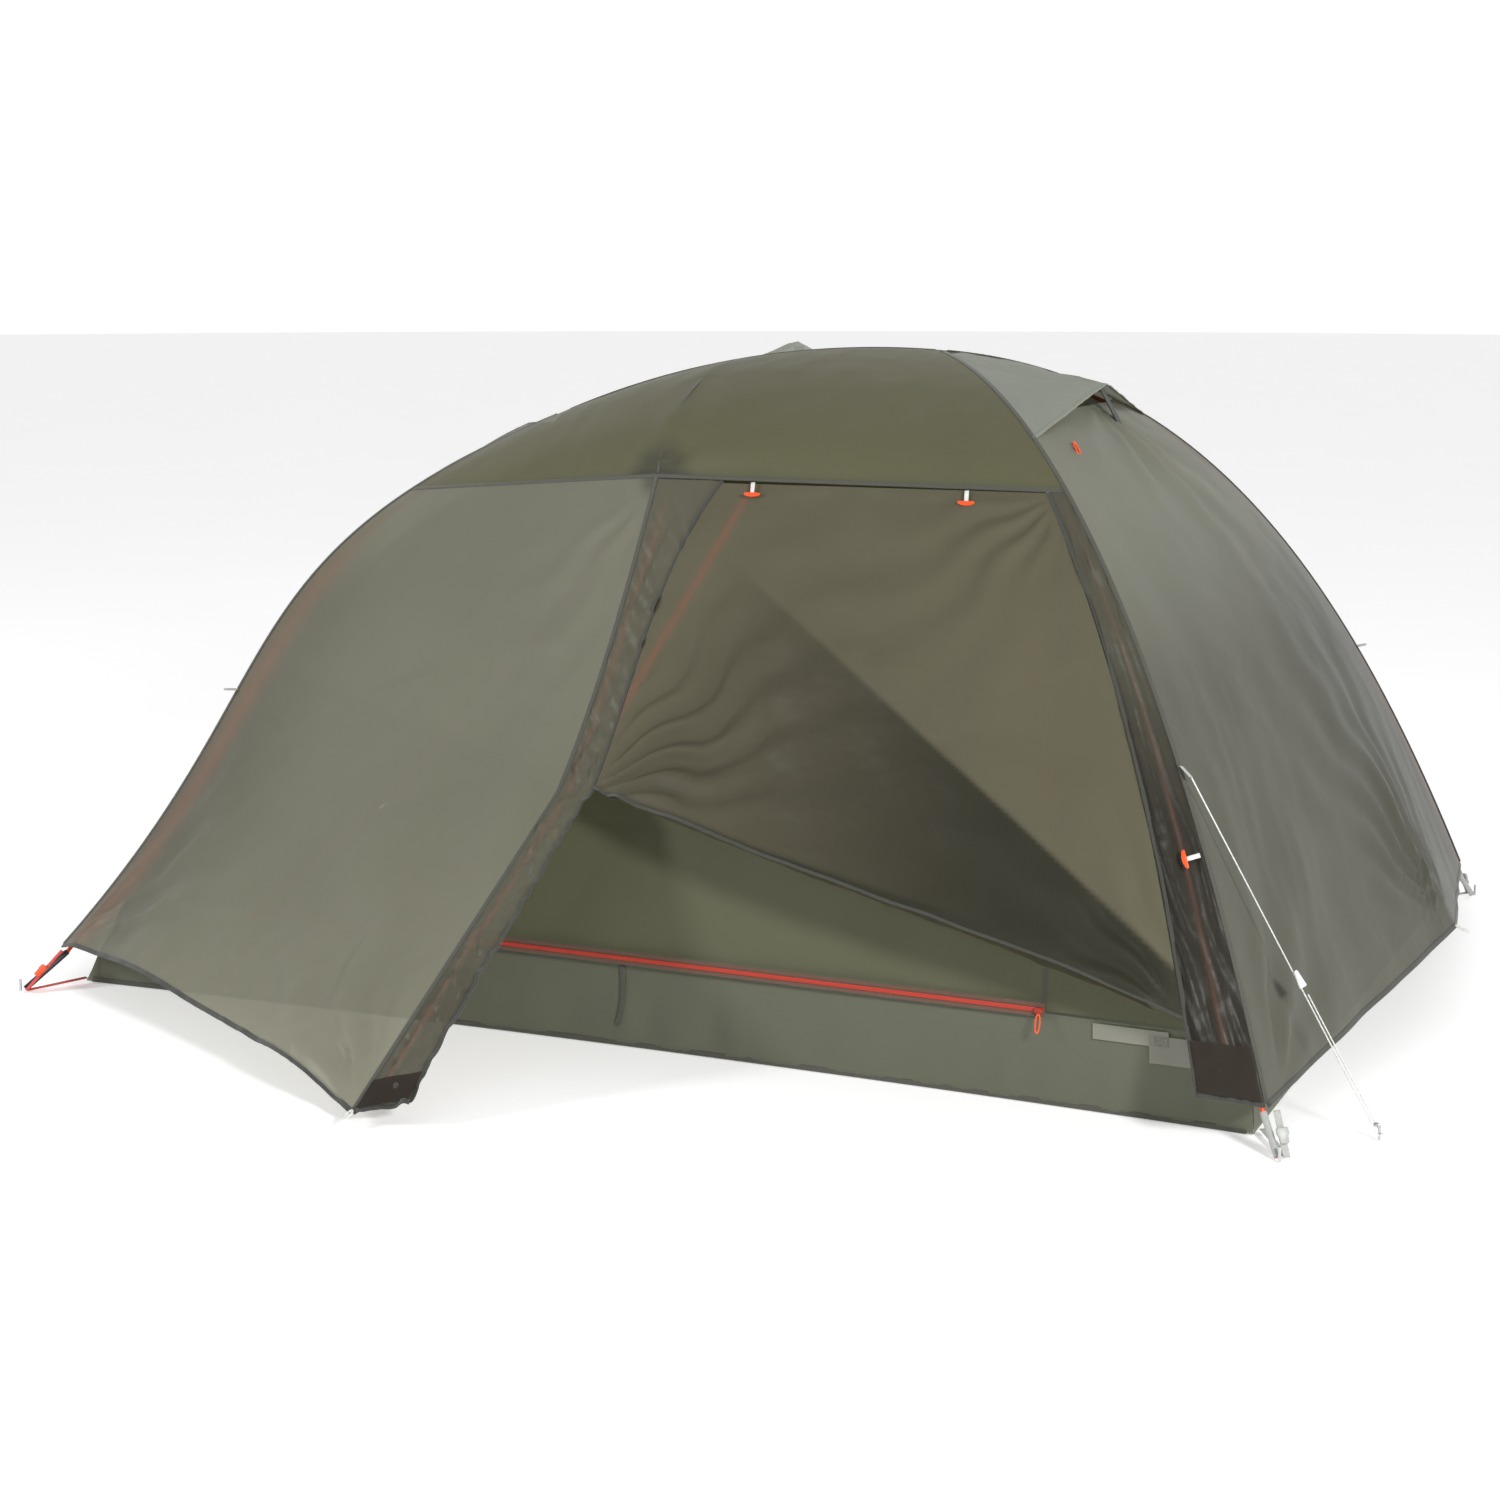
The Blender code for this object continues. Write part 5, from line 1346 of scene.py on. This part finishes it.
def toggle_pieces(node, top, across, down, out, body):
    strap = [top + down * s + out * 0.002 for s in steps(0, 0.024, 6)]
    made = band(f"{node}_strap", strap, out, 0.008, 0.0012, white_webbing, body)
    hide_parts(node)
    rounded_plate(f"{node}_bar", BAR, 0.0042, top + down * 0.026 + out * 0.003, across, -down,
                  orange_plastic, body)


seam_top = door_side(NEAR, 0.4, 0.02)
seam_down = (door_side(NEAR, 0.4, 0.08) - seam_top).normalized()
seam_out = Vector((1, 0, 0)).cross(seam_down).normalized()
if seam_out.y > 0:
    seam_out = -seam_out
for node, x in (("near_foot_toggle", 0.089), ("near_head_toggle", 0.515)):
    share = (x - BROW_NEAR.x) / (LEG_SEAM_HEAD.x - BROW_NEAR.x)
    top = BROW_NEAR.lerp(LEG_SEAM_HEAD, share) + seam_down * 0.010 + seam_out * 0.006
    toggle_pieces(node, top, Vector((1, 0, 0)), seam_down, seam_out, node)
leg_way = (fly_leg(HEAD, NEAR, 0.84) - fly_leg(HEAD, NEAR, 0.80)).normalized()
tie_top = door_side(NEAR, 0.992, 0.67)
tie_way = (door_side(NEAR, 0.965, 0.68) - tie_top).normalized()
tie_out = leg_way.cross(tie_way).normalized()
if tie_out.y > 0:
    tie_out = -tie_out
toggle_pieces("door_tie", tie_top + tie_out * 0.006, leg_way, tie_way, tie_out, "door_tie")
print("toggles made")

# %% [markdown]
# At each corner a webbing strap joins the fly, the pole tip and the floor, with a buckle to
# tighten it: orange and red at the foot end, grey at the head end, so that the fly goes on
# the right way round. Short white loops take the other pegs.

# %% Corners and peg loops
BUCKLE_SHAPE = [(-0.013, -0.008), (-0.011, -0.010), (-0.002, -0.010), (0.002, -0.0075), (0.011, -0.0080),
                (0.013, -0.006), (0.013, 0.006), (0.011, 0.0080), (0.002, 0.0075), (-0.002, 0.010),
                (-0.011, 0.010), (-0.013, 0.008)]
for end, word in ((HEAD, "head"), (FOOT, "foot")):
    for side, which in ((NEAR, "near"), (FAR, "far")):
        strap_colour = red_webbing if end == FOOT else grey_webbing
        shell = orange_plastic if end == FOOT else grey_plastic
        tip = pole_tip(end, side)
        out = Vector((end * 0.0625, side * 0.105, 0)).normalized()
        aside = Vector((-out.y, out.x, 0))
        low = tip + out * 0.004 + Vector((0, 0, 0.006)) + aside * 0.014
        high = fly_corner(end, side) + out * 0.006 + Vector((0, 0, -0.006)) + aside * 0.014
        inner = floor_corner(end, side) + out * 0.004 + Vector((0, 0, 0.012)) + aside * 0.014
        for label, start, stop in (("outer", high, low), ("inner", low, inner)):
            way = (stop - start).normalized()
            face = aside.cross(way).normalized()
            if face.z < 0:
                face = -face
            line = [start.lerp(stop, s) for s in steps(0, 1, 16)]
            made = band(f"{word}_{which}_strap_{label}", line, face, 0.012, 0.0016, strap_colour, TENT)
            if label == "outer":
                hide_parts(f"{word}_{which}_corner_webbing")
        along = (low - high).normalized()
        face = along.cross(aside).normalized()
        if face.dot(out) < 0:
            face = -face
        place = high.lerp(low, 0.55) + face * 0.0053
        made = rounded_plate(f"{word}_{which}_buckle_shell", BUCKLE_SHAPE, 0.0062, place, along, aside, shell,
                             f"{word}_{which}_corner_buckle", bevel=0.0014)
        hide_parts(f"{word}_{which}_corner_buckle")
        corner = fly_corner(end, side)
        sideways = Vector((tip.x - corner.x, tip.y - corner.y, 0)).normalized()
        passes = corner - sideways * 0.0098 - Vector((0, 0, 0.014))
        pole_foot = [(tip + Vector((0, 0, 0.0055))).lerp(passes, s) for s in steps(0, 1, 8)]
        rod(f"{word}_{which}_pole_foot", pole_foot, 0.0058,
            black_plastic if end == FOOT else grey_plastic, TENT)
        pin = [tip + out * 0.010 + Vector((0, 0, z)) for z in steps(0.002, 0.026, 5)]
        rod(f"{word}_{which}_pin", pin, 0.0026, bare_metal, TENT)


def peg_loop(name, root, way, material=white_webbing):
    """A small doubled strap: out along way and back, as a thin loop."""
    way = Vector(way).normalized()
    side_way = Vector((-way.y, way.x, 0)).normalized() * 0.004
    ring = [root + way * 0.014 * (1 - cos(a)) + side_way * sin(a) for a in steps(0, 2 * pi, 24)]
    return rod(name, ring[:-1], 0.0018, material, TENT, closed=True)


for side, which in ((NEAR, "near"), (FAR, "far")):
    peg_loop(f"vestibule_loop_{which}", vestibule_peg(side) + Vector((0, 0, 0.004)), (0, side, -0.25))
for end, word in ((HEAD, "head"), (FOOT, "foot")):
    peg_loop(f"end_loop_{word}", end_wall(end, 0, 1), (end, 0, -0.4))
for end, side, t, name in ((FOOT, NEAR, 0.62, "foot_near"), (FOOT, FAR, 0.62, "foot_far"),
                           (HEAD, FAR, 0.71, "head_far")):
    seam = fly_leg(end, side, t)
    peg_loop(f"side_loop_{name}", seam, Vector((end * 0.7, side, 0.1)), grey_webbing)
pull = end_wall(HEAD, -0.74, 0.30) + Vector((0.012, -0.006, 0))
peg_loop("vent_pull", pull, (0.5, -0.2, -0.8), orange_plastic)
strap = [loop_root.lerp(loop_end, s) for s in steps(0, 0.93, 8)]
made = band("guy_loop_strap", strap, over_guy, 0.010, 0.002, grey_webbing, TENT)
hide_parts("guy_loop")
print("corners and loops made")

# %% [markdown]
# The floor and the light stay plain. The floor is a pale disc, wide enough that its edge is
# never seen. The sky is brighter behind the tent than in front of it, and two soft lamps in
# front rake across the cloth from both sides, because creases only show in raking light.

# %% Stage and light
floor = bpy.data.meshes.new("floor")
shape = bmesh.new()
bmesh.ops.create_circle(shape, cap_ends=True, segments=96, radius=40)
shape.to_mesh(floor)
shape.free()
ground = bpy.data.objects.new("floor", floor)
ground.location.z = -0.001
bpy.context.scene.collection.objects.link(ground)
pale_floor = Finish("pale_floor", 0.9, Emission_Color=(1, 1, 1, 1), Emission_Strength=0.34)
grain = pale_floor.noise(1.5, 2, on_object(pale_floor))
floor_tint = pale_floor.tint(grain, (0.86, 0.86, 0.86), (0.90, 0.90, 0.90))
floor.materials.append(pale_floor.paint(Base_Color=floor_tint).material)

world = bpy.data.worlds.new("sky")
world.use_nodes = True
sky = world.node_tree
way = sky.nodes.new("ShaderNodeSeparateXYZ")
ramp = sky.nodes.new("ShaderNodeMapRange")
ramp.interpolation_type = "SMOOTHSTEP"
for label, value in (("From Min", -0.35), ("From Max", 0.55), ("To Min", 0.26), ("To Max", 1.02)):
    ramp.inputs[label].default_value = value
sky.links.new(sky.nodes.new("ShaderNodeTexCoord").outputs["Generated"], way.inputs[0])
sky.links.new(way.outputs["Y"], ramp.inputs["Value"])
sky.links.new(ramp.outputs["Result"], sky.nodes["Background"].inputs["Strength"])
sky.nodes["Background"].inputs["Color"].default_value = (1, 1, 1, 1)
bpy.context.scene.world = world


def soft_lamp(name, place, aim, size, power):
    lamp = bpy.data.lights.new(name, "AREA")
    lamp.shape = "DISK"
    lamp.size, lamp.energy = size, power
    thing = bpy.data.objects.new(name, lamp)
    thing.location = place
    thing.rotation_euler = (Vector(aim) - Vector(place)).to_track_quat("-Z", "Y").to_euler()
    bpy.context.scene.collection.objects.link(thing)


soft_lamp("key", (4.6, -4.2, 2.9), (0.2, -0.3, 0.5), 1.0, 290)
soft_lamp("side", (-4.6, -4.2, 2.6), (-0.4, -0.4, 0.5), 1.2, 185)
bpy.context.scene.view_settings.view_transform = "Standard"
print("stage and lamps ready")
